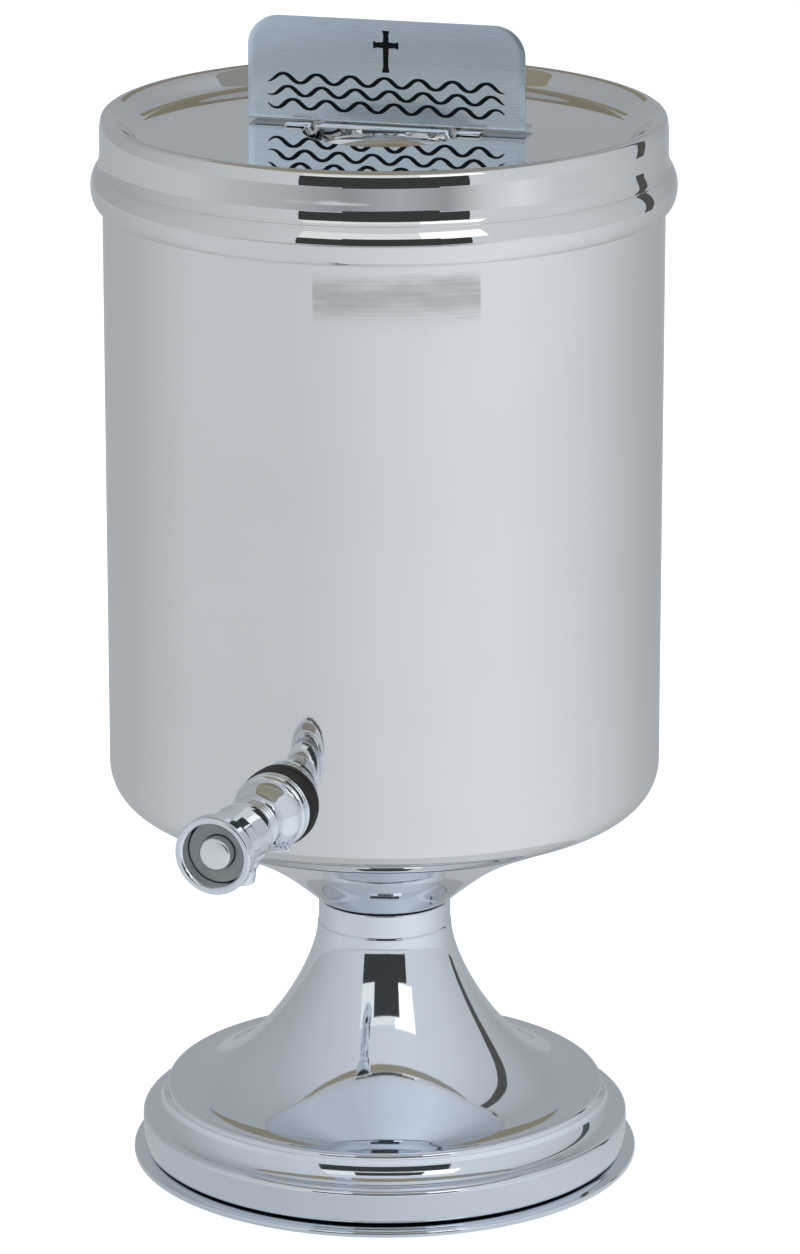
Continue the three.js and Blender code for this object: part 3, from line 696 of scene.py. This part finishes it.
def lid_line(lid):
    """Outside of the lid, from the middle of the recess to the skirt's lower edge."""
    top = CREST_TOP + lid.crest_rise
    panel = top - lid.panel_depth
    floor = panel - lid.recess_depth
    draft, edge, fillet = mm(1.2, 1.2, 4)
    base = lid.recess_radius - edge - draft - fillet
    meet = 14
    toward = np.array([math.cos(math.radians(meet)), math.sin(math.radians(meet))])
    crown = SKIRT_RADIUS - lid.crest_sweep + (lid.crest_sweep - lid.crest) * toward[0]
    crest_centre = np.array([crown, top - lid.crest])
    sweep_centre = crest_centre + (lid.crest - lid.crest_sweep) * toward
    handle = np.array([0.33 * lid.border, 0])
    inside, crest = points((crown - lid.border, panel), (crown, top))
    side = bead_side(bpy.context.scene.urn_tank)[::-1]
    return chain(
        (0, floor),
        arc((base, floor + fillet), (fillet, fillet), -90, 0, 12),
        arc((lid.recess_radius, panel - edge), (edge, edge), 180, 90, 8),
        bezier(inside, inside + handle, crest - handle, crest, 32),
        arc(crest_centre, (lid.crest,) * 2, 90, meet, 12)[1:],
        arc(sweep_centre, (lid.crest_sweep,) * 2, meet, 0, 12)[1:],
        side[side[:, 1] > SKIRT_BOTTOM + 0.05 * MM],
        points((np.interp(SKIRT_BOTTOM, side[::-1, 1], side[::-1, 0]), SKIRT_BOTTOM)),
    )


def foot_outline(pedestal):
    """Stem, trumpet, ledge, shoulder, band and rolled rim as one closed outline."""
    band, ledge, height = pedestal.band, pedestal.ledge, pedestal.ledge_height
    groove, drip, band_bottom, band_top = mm(3.6, 1.2, 6, 16.2)
    roll, flat, upright, taper = mm(1.4, 1.2, 19.2, 31.2)
    edge, fillet, shoulder, rounding, nick = mm(0.6, 7.4, 17.5, 2.4, 0.3)
    step = ledge + edge
    drop = height - edge - nick - shoulder
    outside = chain(
        (ROD_HOLE, FOOT_TOP),
        bezier(
            (pedestal.stem, FOOT_TOP), (pedestal.stem, FOOT_TOP - upright),
            (ledge - taper, height), (ledge, height), 72,
        ),
        arc((ledge, height - edge), (edge, edge), 80, 0, 8),
        arc((step + fillet, shoulder + drop), (fillet, drop), 180, 270, 24),
        arc((band - rounding, band_top), (rounding, shoulder - band_top), 90, 0, 16),
        points((band, band_bottom), (band - groove, band_bottom - drip)),
    )
    outside = softened(outside, nick)
    centre = pedestal.rim - roll
    rim = chain(
        points((band - groove, band_bottom - drip - nick), (centre, roll * 2)),
        arc((centre + flat / 2, roll), (roll - flat / 2, roll), 60, -90, 18),
        points((centre - flat / 2, 0), (band - groove - pedestal.sheet, roll)),
    )
    rim = softened(rim, 0.2 * MM)
    inside = offset(outside, -pedestal.sheet)[::-1]
    return chain(outside, rim, inside)


class URN_OT_tank(bpy.types.Operator):
    """Drawn pot with its rolled bead, its neck and the hole for the tap"""

    bl_idname = "urn.tank"
    bl_label = "Tank"

    def execute(self, context):
        tank = context.scene.urn_tank
        outline = pot_wall(tank_line(tank), tank)
        pot = revolve("tank_pot", outline, tank.facets, soft=0.2 * MM)
        through = 4 * MM
        bore(pot, tank.hole, -through, through, 96, on_tap)
        fit(pot, "urn", "polished_steel", "tank")
        return {"FINISHED"}


class URN_OT_lid(bpy.types.Operator):
    """Lid cover: skirt, crest, panel and finger recess"""

    bl_idname = "urn.lid"
    bl_label = "Lid"

    def execute(self, context):
        lid = context.scene.urn_lid
        facets = context.scene.urn_tank.facets
        outline = sheet_wall(lid_line(lid), lid.sheet)
        cover = revolve("lid_pressing", outline, facets, soft=0.12 * MM)
        fit(cover, "lid", "polished_steel", "lid_cover")
        return {"FINISHED"}


class URN_OT_strap(bpy.types.Operator):
    """Grip strap across the recess, and the two rivets that hold the sign on it"""

    bl_idname = "urn.strap"
    bl_label = "Strap and rivets"

    def execute(self, context):
        lid = context.scene.urn_lid
        top = SIGN_BOTTOM - 0.3 * MM
        half = mm((0, 0), (25.2, 0), (27.6, -3.3), (28.9, 0), (38.4, 0)) + (0, top)
        line = chain(half[:0:-1] * (-1, 1), half[1:])
        line = softened(line, 1.1 * MM, steps=6)
        outline = sheet_wall(line, lid.strap_sheet)
        width = lid.strap_width / 2

        def placed(local):
            y = local[:, 2] + lid.strap_setback
            return on_lid(np.stack([local[:, 0], y, local[:, 1]], 1), lid.turn)

        strip = round_edges(prism("grip_strap", outline, (-width, width), placed), 0.14 * MM)
        fit(strip, "lid", "polished_steel", "lid_strap")
        for side, node in ((-1, "sign_rivet_left"), (1, "sign_rivet_right")):
            self.rivet(side, node, lid)
        return {"FINISHED"}

    def rivet(self, side, node, lid):
        """Shank between a tail and a domed head: each dome is a quarter of an ellipse, turned."""
        bottom, top = low(node, 2), high(node, 2)
        head, dome, tail, tail_dome, tail_height, shank = mm(1.9, 0.9, 1.5, 1.2, 3.8, 1)
        outline = chain(
            (0, bottom),
            arc((0, bottom + tail_dome), (tail, tail_dome), -80, 0, 8),
            points((tail, bottom + tail_height), (shank, bottom + tail_height)),
            (shank, top - dome),
            arc((0, top - dome), (head, dome), 0, 84, 10),
            (0, top),
        )
        apart, back = mm(17.4, 6.2)

        def placed(local):
            return on_lid(local + (side * apart, back, 0), lid.turn)

        name = "rivet_left" if side < 0 else "rivet_right"
        pin = revolve(name, outline, 32, placed, closed=False, soft=0.12 * MM)
        fit(pin, "lid", "plain_steel", node)


class URN_OT_sign(bpy.types.Operator):
    """Sign plate bent back into its foot, with a plain cross and a band of waves"""

    bl_idname = "urn.sign"
    bl_label = "Sign"

    def execute(self, context):
        sign = context.scene.urn_sign
        lid = context.scene.urn_lid
        self.plate(sign, lid)
        self.cross(sign, lid)
        self.waves(sign, lid)
        return {"FINISHED"}

    def placed(self, local, sign, lid):
        """Plate's x, height and distance behind its face to the urn."""
        y = local[:, 2] + sign.setback
        return on_lid(np.stack([local[:, 0], y, local[:, 1] + SIGN_BOTTOM], 1), lid.turn)

    def plate(self, sign, lid):
        """A path up the plate's front face, carried across x = u * half width (height).

        Near the top the half width shrinks along the quarter circle of the corner.
        """
        height = SIGN_TOP - SIGN_BOTTOM
        corner, half = sign.corner, sign.width / 2
        lower = softened(points((sign.foot, 0), (0, 0), (0, 2 * sign.bend)), sign.bend, steps=8)
        plain = np.column_stack([np.zeros(9), np.linspace(2.4 * sign.bend, height - corner, 9)])
        rise = height - corner + corner * np.sin(np.radians(np.linspace(0, 90, 25)[1:]))
        path = chain(lower, plain, np.column_stack([0 * rise, rise]))
        above = np.clip(path[:, 1] - (height - corner), 0, corner)
        width = half - corner + np.sqrt(corner ** 2 - above ** 2)
        across = np.linspace(-1, 1, 41)[None, :]
        grid = np.stack([
            width[:, None] * across, path[:, 1][:, None] + 0 * across,
            path[:, 0][:, None] + 0 * across,
        ], -1)
        faces = grid_faces(len(path), 41)
        plate = mesh_piece("plate", self.placed(grid.reshape(-1, 3), sign, lid), faces)
        wall = plate.modifiers.new("Sheet", "SOLIDIFY")
        wall.thickness = sign.sheet
        wall.offset = -1
        wall.use_even_offset = True
        plate.data.flip_normals()
        apply_modifiers(plate)
        round_edges(plate, 0.12 * MM)
        fit(plate, "lid", "satin_sheet", "sign_plate")

    def cross(self, sign, lid):
        """Latin cross with slightly widened ends, proud of the face by less than 0.1 mm."""
        upper = points((1.45, 5.6), (1.0, 4.0), (1.15, 1.15))
        side = points((1.15, 1.15), (3.6, 1.0), (5.0, 1.5))
        lower = points((1.0, -8.0), (1.5, -10.6))
        right = chain(upper, side, side[::-1] * (1, -1), lower)
        outline = chain(right, right[::-1] * (-1, 1))
        outline *= sign.cross_height / (upper[0, 1] - lower[-1, 1])
        centre = SIGN_TOP - SIGN_BOTTOM - 9.6 * MM
        inlay = mm(-0.07, 0.3)
        outline = without_doubles(softened(outline, 0.25 * MM, closed=True)) + (0, centre)
        mark = prism(
            "cross_inlay", outline[::-1], inlay,
            lambda local: self.placed(local, sign, lid),
        )
        fit(mark, "lid", "satin_sheet", look="enamel")

    def waves(self, sign, lid):
        """Three ribbons: centre a * sin(2 pi x / wave), half thickness swelling on the slopes."""
        half = sign.wave_width / 2
        x = np.linspace(-half, half, 241)
        phase = 2 * math.pi * x / sign.wave_length
        fade = np.clip((half - np.abs(x)) / (6 * MM), 0, 1) ** 0.5
        swing, thin, swell, tip = mm(1.75, 0.55, 0.55, 0.02)
        for number, level in enumerate(mm(6.2, 11.2, 16.2)):
            shift = phase + number * 0.9
            centre = level + swing * np.sin(shift)
            thick = (thin + swell * np.cos(shift) ** 2) * fade + tip
            outline = chain(
                np.column_stack([x, centre - thick]), np.column_stack([x, centre + thick])[::-1],
            )
            size, strip = len(outline), np.arange(len(x) - 1)
            front, back = (np.column_stack([outline, np.full(size, s)]) for s in mm(-0.07, 0.3))
            upper = size - 1 - strip
            near = np.stack([strip, strip + 1, upper - 1, upper], 1)
            edge = np.arange(size)
            after = (edge + 1) % size
            side = np.stack([edge, edge + size, after + size, after], 1)
            faces = chain(near, near[:, ::-1] + size, side).tolist()
            ribbon = mesh_piece(
                f"wave_inlay_{number + 1}",
                self.placed(chain(front, back), sign, lid), faces,
            )
            fit(ribbon, "lid", "satin_sheet", look="enamel")


class URN_OT_pedestal(bpy.types.Operator):
    """Flare under the tank, its rubber ring, the collar and the spun foot"""

    bl_idname = "urn.pedestal"
    bl_label = "Pedestal"

    def execute(self, context):
        pedestal = context.scene.urn_pedestal
        facets = pedestal.facets
        sheet, seam, edge = mm(1, 0.05, 0.02)
        out, up, inward, down = mm(19, 16.7, 40.9, 18.3)
        neck, flare = pedestal.neck, pedestal.flare
        line = chain(
            (ROD_HOLE, FLARE_BOTTOM),
            bezier(
                (neck, FLARE_BOTTOM), (neck + out, FLARE_BOTTOM + up),
                (flare - inward, TANK_BOTTOM - down), (flare, TANK_BOTTOM - seam), 48,
            ),
        )
        line = softened(line, 0.6 * MM)
        inner = offset(line, -sheet)
        inner[:, 1] = np.minimum(inner[:, 1], TANK_BOTTOM - edge)
        outline = chain(line, inner[::-1])
        trumpet = revolve("flare", outline, facets, soft=0.1 * MM)
        fit(trumpet, "urn", "spun_chrome", "tank_flare")

        bottom, top = low("flare_gasket", 2), high("flare_gasket", 2)
        outline = box_outline(4.2 * MM, pedestal.gasket, bottom, top)
        gasket = revolve("pedestal_seal", outline, 128, soft=0.3 * MM)
        fit(gasket, "urn", "black_rubber", "flare_gasket")

        hole = pedestal.collar - 3.2 * MM
        outline = box_outline(hole, pedestal.collar, FOOT_TOP, COLLAR_TOP)
        collar = revolve("collar", outline, facets, soft=0.75 * MM, steps=8)
        fit(collar, "urn", "spun_chrome", "collar_ring")

        foot = revolve("spun_foot", foot_outline(pedestal), facets)
        fit(foot, "urn", "spun_chrome", "foot_shell")
        return {"FINISHED"}


class URN_OT_tap(bpy.types.Operator):
    """Push-button tap: washer, grooved collar, barrel with spout, ring, guide and button"""

    bl_idname = "urn.tap"
    bl_label = "Tap"

    def execute(self, context):
        tap = context.scene.urn_tap
        self.washer(tap)
        self.collar(tap)
        self.body(tap)
        self.ring(tap)
        self.front(tap)
        self.screw()
        return {"FINISHED"}

    def washer(self, tap):
        """Rounded washer whose back follows the tank: s = sqrt(R^2 - x^2) - R + gap."""
        radius = bpy.context.scene.urn_tank.radius
        hole, back, front, rounding, gap = mm(6.5, -4, 4.8, 2.2, 0.25)
        outline = box_outline(hole, tap.gasket, back, front)

        def placed(local):
            wall = np.sqrt(radius ** 2 - local[:, 0] ** 2) - radius + gap
            local[:, 2] = np.maximum(local[:, 2], wall)
            return on_tap(local)

        piece = revolve("tap_washer", outline, 128, placed, soft=rounding, steps=10)
        fit(piece, "urn", "black_rubber", "tap_gasket_outer")

    def collar(self, tap):
        """Flat ring with two V grooves, each falling evenly to `deep` at its middle."""
        start, end, hub, edge = mm(4.8, 11.6, 9.3, 0.8)
        radius, deep, wide = tap.collar, 0.45 * MM, 0.8 * MM
        first = start + 2 * edge
        second = first + wide + edge
        outline = points(
            (hub, start), (radius - edge, start), (radius, start + edge),
            (radius, first), (radius - deep, first + wide / 2), (radius, first + wide),
            (radius, second), (radius - deep, second + wide / 2), (radius, second + wide),
            (radius, end - edge), (radius - edge, end), (hub, end),
        )
        ring = revolve("tap_flange", outline, tap.facets, on_tap, soft=0.22 * MM)
        fit(ring, "urn", "spun_chrome", "tap_collar")

    def body(self, tap):
        """Barrel turned about the tap's axis, joined with the spout and drilled out."""
        bulb, barrel, spout = tap.bulb, tap.barrel, tap.spout
        neck, bulb_start, bulb_end, neck_end = mm(9.5, 11.9, 24.2, 31.4)
        centre, end, nose, nose_end = mm(40, 48.6, 10.4, 56.4)
        middle = (bulb_start + bulb_end) / 2
        pitch = (neck_end - bulb_end) / 4
        along = bulb_end + pitch * (np.arange(3)[:, None] + (0.5, 0.8, 1.2, 1.5))
        rings = np.stack([neck + mm(0, 0.6, 0.6, 0) + 0 * along, along], -1).reshape(-1, 2)
        outside = chain(
            mm((0, -13), (6.2, -13), (6.2, 4.8), (9, 4.8), (9, 11.9)),
            bezier((bulb, bulb_start), (bulb, middle), (neck, middle), (neck, bulb_end), 24),
            rings,
            arc((neck, centre), (barrel - neck, centre - neck_end), -90, 0, 20),
            points((11.4 * MM, end), (nose, end), (nose, nose_end), (0, nose_end)),
        )
        piece = revolve("tap_barrel", outside, tap.facets, on_tap, closed=False, soft=0.3 * MM)
        collar, slope, collar_end, slope_end, lip, reach = mm(1.6, 0.15, 10.3, 13, 6, 17.8)
        outline = points(
            (0, 0), (spout + collar, 0), (spout + collar, collar_end), (spout + slope, slope_end),
            (lip, reach), (0, reach),
        )

        def down(local):
            return on_tap(np.stack([local[:, 0], -local[:, 2], centre + local[:, 1]], 1))

        outlet = revolve(
            "outlet", outline, tap.small_facets, down, closed=False, soft=0.7 * MM, steps=8
        )
        combine(piece, outlet, "UNION")
        bores = ((4.9, -15, 30, on_tap), (3.4, 29, 33, on_tap), (5.2, 32, 46, on_tap),
                 (8.4, 45, 58, on_tap), (3.6, 0, 20, down))
        for *sizes, place in bores:
            bore(piece, *mm(*sizes), 64, place)
        fit(piece, "urn", "spun_chrome", "tap_body")

    def ring(self, tap):
        """Sleeve that swells by a cubic curve to its flange; the front edge is a quarter round."""
        start, waist, flange, seat = mm(48.9, 55, 61.2, 56.7)
        thread, narrow, hole, edge = mm(10.7, 12.2, 12, 0.9)
        front = AXIS_Y - bpy.context.scene.urn_tank.radius - RING_FACE
        half = (waist + flange) / 2
        outline = chain(
            points((thread, start), (narrow, start)),
            bezier((narrow, waist), (narrow, half), (tap.ring, half), (tap.ring, flange), 20),
            arc((tap.ring - edge, front - edge), (edge, edge), 0, 90, 8),
            points((hole + edge, front), (hole, front - edge), (hole, seat), (thread, seat)),
        )
        piece = revolve("front_ring", outline, tap.facets, on_tap, soft=0.35 * MM)
        fit(piece, "urn", "spun_chrome", "tap_front_ring")

    def front(self, tap):
        """Guide plate, slightly dished, and the button standing through it."""
        start, end, rim = mm(57, 59.1, 11.75)
        lip, dish, slope, play = mm(0.2, 0.4, 1.6, 0.3)
        hole = tap.button + play
        outline = points(
            (hole, start), (rim, start), (rim, end + lip), (hole + slope, end - dish),
            (hole, end - dish),
        )
        guide = revolve("button_guide", outline, tap.small_facets, on_tap, soft=0.25 * MM)
        fit(guide, "urn", "grey_plastic", "tap_guide")
        back, face, flange, sheet, pit, stem = mm(54.8, 64.1, 7.7, 1.6, 3.5, 1.8)
        edge, low_edge, crown = mm(0.5, 1.2, 30)
        outline = chain(
            points((0, back + pit), (stem, back + pit), (stem, back)),
            points((flange, back), (flange, back + sheet), (tap.button, back + sheet)),
            points((tap.button, face - low_edge), (tap.button - 0.8 * MM, face - edge)),
            arc((0, face - crown), (crown, crown), 80.5, 90, 10),
        )
        button = revolve(
            "button_cap", outline, tap.small_facets, on_tap, closed=False, soft=0.3 * MM
        )
        fit(button, "button", "spun_chrome", "push_button", look="button_metal")

    def screw(self):
        """Small ball-headed screw, square on the bulb."""
        seat, ball, shank, deep, station = mm(12.9, 1.7, 0.9, 3, 16)
        turn = math.radians(39)
        outline = chain(
            points((0, seat - deep), (shank, seat - deep), (shank, seat)),
            arc((0, seat + ball), (ball, ball), -58, 90, 20),
        )

        def placed(local):
            x = local[:, 0] * math.cos(turn) + local[:, 2] * math.sin(turn)
            y = local[:, 0] * math.sin(turn) - local[:, 2] * math.cos(turn)
            return on_tap(np.stack([x, y, station + local[:, 1]], 1))

        piece = revolve("ball_screw", outline, 48, placed, closed=False, soft=0.15 * MM)
        fit(piece, "urn", "spun_chrome", "tap_screw")


class URN_OT_finishes(bpy.types.Operator):
    """Finishes for the inner pieces that keep their solids"""

    bl_idname = "urn.finishes"
    bl_label = "Inner pieces"

    def execute(self, context):
        slots = {part["node"]: part["material_slot"] for part in frame["record"]["subparts"]}
        for node, solid in frame["nodes"].items():
            solid.data.materials.clear()
            solid.data.materials.append(finish(slots[node]))
        return {"FINISHED"}


# Room that metal sees: brightness at so many degrees from the camera's azimuth
FLOOR_TONES = (
    (-201, 0.46), (-150, 0.47), (-120, 0.52), (-106, 0.57), (-82, 0.66), (-35, 0.67),
    (-14, 0.72), (6, 0.79), (27, 0.84), (49, 0.86), (72, 0.80), (100, 0.67), (122, 0.54),
    (149, 0.45), (158, 0.45),
)
FAR_TONES = (
    (-201, 0.46), (-150, 0.48), (-106, 0.58), (-82, 0.63), (-35, 0.47), (-14, 0.34), (6, 0.47),
    (24, 0.36), (40, 0.70), (55, 0.83), (72, 0.66), (100, 0.62), (149, 0.44), (158, 0.44),
)
DOME_TONES = (
    (-201, 0.41), (-150, 0.41), (-120, 0.45), (-80, 0.58), (-30, 0.68), (30, 0.73), (80, 0.68),
    (120, 0.54), (150, 0.41), (158, 0.41),
)
EVEN = ((0, 1),)
GREY = (0.94, 1.0, 1.06)
BROWN = (1.0, 0.9, 0.68)
ROUND = (-180, 180)
FLAT = (0, 0)
# Name, azimuths, elevations, distances, tones, strength and tint of each card
CARDS = (
    # Painted shadow: the floor ring under and round the foot is dimmer, standing in for the urn's
    # shadow where metal sees the floor.
    ("room_floor_shadow", ROUND, FLAT, (0.02, 0.165), FLOOR_TONES, 0.79, GREY),
    ("room_floor", ROUND, FLAT, (0.165, 1.9), FLOOR_TONES, 1.0, GREY),
    ("room_floor_far", ROUND, FLAT, (1.9, 3.2), FAR_TONES, 1.0, GREY),
    ("room_dome", ROUND, (0, 90), (3.2, 3.2), DOME_TONES, 1.0, GREY),
    ("strip_floor", (-28, 38), (0.1, 0.1), (1.635, 1.675), EVEN, 0.25, GREY),
    ("card_dark_front", (-33, 33), (5, 25), (2, 2), EVEN, 0.05, GREY),
    ("card_dark_near", (-15, 20), (27, 41), (0.72, 0.85), EVEN, 0.05, GREY),
    ("card_bright_front", (-33, 33), (25, 43), (2, 2), EVEN, 0.9, GREY),
    ("card_dark_above", ROUND, (58, 90), (2.4, 2.4), EVEN, 0.3, BROWN),
    ("card_bright_right", (14, 40), (26, 44), (1.9, 1.9), EVEN, 1.4, GREY),
    ("card_brown_back", (165, 195), (31, 58), (2, 2), EVEN, 0.26, BROWN),
    ("card_line_right", (119, 126), (0, 60), (2, 2), EVEN, 0.09, BROWN),
)
WHITE = (1, 1, 1, 1)


def by_ray(tree, plain, shown, output):
    """Joins two shaders: `shown` is for rays from the camera, off metal or through glass."""
    path = add_node(tree, "ShaderNodeLightPath")
    camera, glossy, clear = (
        path.output(f"Is {kind} Ray") for kind in ("Camera", "Glossy", "Transmission")
    )
    share = camera.math("ADD", camera + glossy, clear, clamp=True)
    choice = add_node(tree, "ShaderNodeMixShader", ports={0: share, 1: plain, 2: shown})
    feed(tree, tree.nodes[output], {0: choice})


def aimed(name, data, place, target):
    """A lamp or camera at a place, looking at the target."""
    made = bpy.data.objects.new(name, data)
    bpy.context.scene.collection.objects.link(made)
    made.location = place
    made.rotation_mode = "QUATERNION"
    made.rotation_quaternion = (target - place).to_track_quat("-Z", "Y")
    return made


class URN_OT_stage(bpy.types.Operator):
    """Pale floor, plain lamps, the camera, and a grey room of cards that only metal sees"""

    bl_idname = "urn.stage"
    bl_label = "Stage"

    def execute(self, context):
        self.floor()
        self.surroundings()
        for row in CARDS:
            self.card(*row)
        self.camera(context)
        context.scene.view_settings.view_transform = "Standard"
        return {"FINISHED"}

    def floor(self):
        """Seen directly it is white with a soft shadow."""
        half = 6
        corners = points((-half, -half, 0), (half, -half, 0), (half, half, 0), (-half, half, 0))
        plane = mesh_piece("floor", corners, [[0, 1, 2, 3]])
        ground = Finish("floor")
        plane.data.materials.append(ground.shade(Base_Color=(0.62, 0.66, 0.71, 1), Roughness=0.9))
        plain = Signal(ground.tree, ground.shader.outputs[0])
        lift = ground.node("ShaderNodeEmission", Color=WHITE, Strength=0.62)
        both = ground.node("ShaderNodeAddShader", ports={0: plain, 1: lift})
        by_ray(ground.tree, plain, both, "Material Output")

    def surroundings(self):
        """White where it is seen, and soft plain light on everything else."""
        world = bpy.data.worlds.new("room")
        bpy.context.scene.world = world
        world.use_nodes = True
        tree = world.node_tree
        light = tree.nodes["Background"]
        feed(tree, light, {"Color": (0.74, 0.76, 0.78, 1)})
        white = add_node(tree, "ShaderNodeBackground", Color=WHITE)
        by_ray(tree, Signal(tree, light.outputs[0]), white, "World Output")
        self.lamp("lamp_top", (0.3, -0.6, 2.2), 1.4, 16)
        self.lamp("lamp_left", (-1.9, -1.2, 1.3), 1.2, 13)

    def card(self, name, azimuth, elevation, distance, tones, strength, tint):
        """Part of a sphere or a floor ring about the urn, seen in metal and never directly.

        Azimuths are degrees from the camera's. A tone is brightness at an azimuth.
        """
        columns, rows = 2 + round((azimuth[1] - azimuth[0]) / 5), 13
        a = np.radians(CAMERA_AZIMUTH + np.linspace(*azimuth, columns))[:, None]
        e = np.radians(np.linspace(*elevation, rows))[None, :]
        reach = np.linspace(*distance, rows)[None, :]
        grid = np.stack([
            np.sin(a) * np.cos(e), -np.cos(a) * np.cos(e), np.sin(e) + 0 * a,
        ], -1) * reach[..., None]
        place = on_axis(grid.reshape(-1, 3)) + (0, 0, 0.8 * MM)
        shade = mesh_piece(name, place, grid_faces(columns, rows))
        glow = Finish(name)
        place = glow.node("ShaderNodeMapping", Vector=glow.place, Location=(0, -AXIS_Y, 0))
        x = glow.node("ShaderNodeSeparateXYZ", Vector=place)
        turn = x.math("ARCTAN2", x, x.output("Y") * -1.0) / (2 * math.pi) + 0.5
        stops = sorted(
            ((angle + CAMERA_AZIMUTH + 180) % 360 / 360, rgba(tint, tone)) for angle, tone in tones
        )
        colour_round = glow.node("ShaderNodeValToRGB", {"stops": stops}, Fac=turn)
        light = glow.node("ShaderNodeEmission", Color=colour_round, Strength=strength)
        feed(glow.tree, glow.tree.nodes["Material Output"], {0: light})
        shade.data.materials.append(glow.material)
        shade.visible_camera = False
        shade.visible_diffuse = False
        shade.visible_shadow = False

    def lamp(self, name, place, size, power):
        """Round area lamp, aimed at the middle of the urn and hidden from metal."""
        light = bpy.data.lights.new(name, "AREA")
        light.shape = "DISK"
        light.size = size
        light.energy = power
        lamp = aimed(name, light, Vector(place), Vector((0, AXIS_Y, 0.22)))
        lamp.visible_camera = False
        lamp.visible_glossy = False

    def camera(self, context):
        """Where the photograph was taken from: so far to the right, and 16.52 degrees up."""
        a, e = math.radians(CAMERA_AZIMUTH), math.radians(16.52)
        back = Vector((math.sin(a) * math.cos(e), -math.cos(a) * math.cos(e), math.sin(e)))
        right = Vector((math.cos(a), math.sin(a), 0))
        target = Vector((0, AXIS_Y, 0.2168))
        distance, aside = 2.433, 0.0061
        data = bpy.data.cameras.new("camera")
        data.sensor_fit = "AUTO"
        data.sensor_width = 36
        data.lens = 178.49
        data.clip_end = 30
        place = target + back * distance
        context.scene.camera = aimed("camera", data, place, target + right * aside)


class URN_PT_panel(bpy.types.Panel):
    """Lists the operators of the urn"""

    bl_idname = "URN_PT_panel"
    bl_label = "Holy water urn"
    bl_space_type = "VIEW_3D"
    bl_region_type = "UI"
    bl_category = "Urn"

    def draw(self, context):
        for group in ("urn_tank", "urn_lid", "urn_sign", "urn_pedestal", "urn_tap", "urn_finish"):
            box = self.layout.box()
            settings = getattr(context.scene, group)
            for key in settings.bl_rna.properties.keys()[2:]:
                box.prop(settings, key)
        for operator in OPERATORS:
            self.layout.operator(operator.bl_idname)


GROUPS = {
    "urn_tank": TankSettings,
    "urn_lid": LidSettings,
    "urn_sign": SignSettings,
    "urn_pedestal": PedestalSettings,
    "urn_tap": TapSettings,
    "urn_finish": FinishSettings,
}
OPERATORS = (
    URN_OT_tank, URN_OT_lid, URN_OT_strap, URN_OT_sign, URN_OT_pedestal, URN_OT_tap,
    URN_OT_finishes, URN_OT_stage,
)


def register():
    for settings in GROUPS.values():
        bpy.utils.register_class(settings)
    for name, settings in GROUPS.items():
        setattr(bpy.types.Scene, name, PointerProperty(type=settings))
    for operator in OPERATORS:
        bpy.utils.register_class(operator)
    bpy.utils.register_class(URN_PT_panel)


def unregister():
    bpy.utils.unregister_class(URN_PT_panel)
    for operator in reversed(OPERATORS):
        bpy.utils.unregister_class(operator)
    for name, settings in GROUPS.items():
        delattr(bpy.types.Scene, name)
        bpy.utils.unregister_class(settings)


def press_spring():
    """Gives the return spring a mesh of its own."""
    spring, step = frame["nodes"]["return_spring"], high("return_spring", 1)
    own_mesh(spring)


def main():
    register()
    bpy.ops.urn.tank()
    bpy.ops.urn.lid()
    bpy.ops.urn.strap()
    bpy.ops.urn.sign()
    bpy.ops.urn.pedestal()
    bpy.ops.urn.tap()
    bpy.ops.urn.finishes()
    bpy.ops.urn.stage()
    press_spring()


if __name__ == "__main__":
    main()
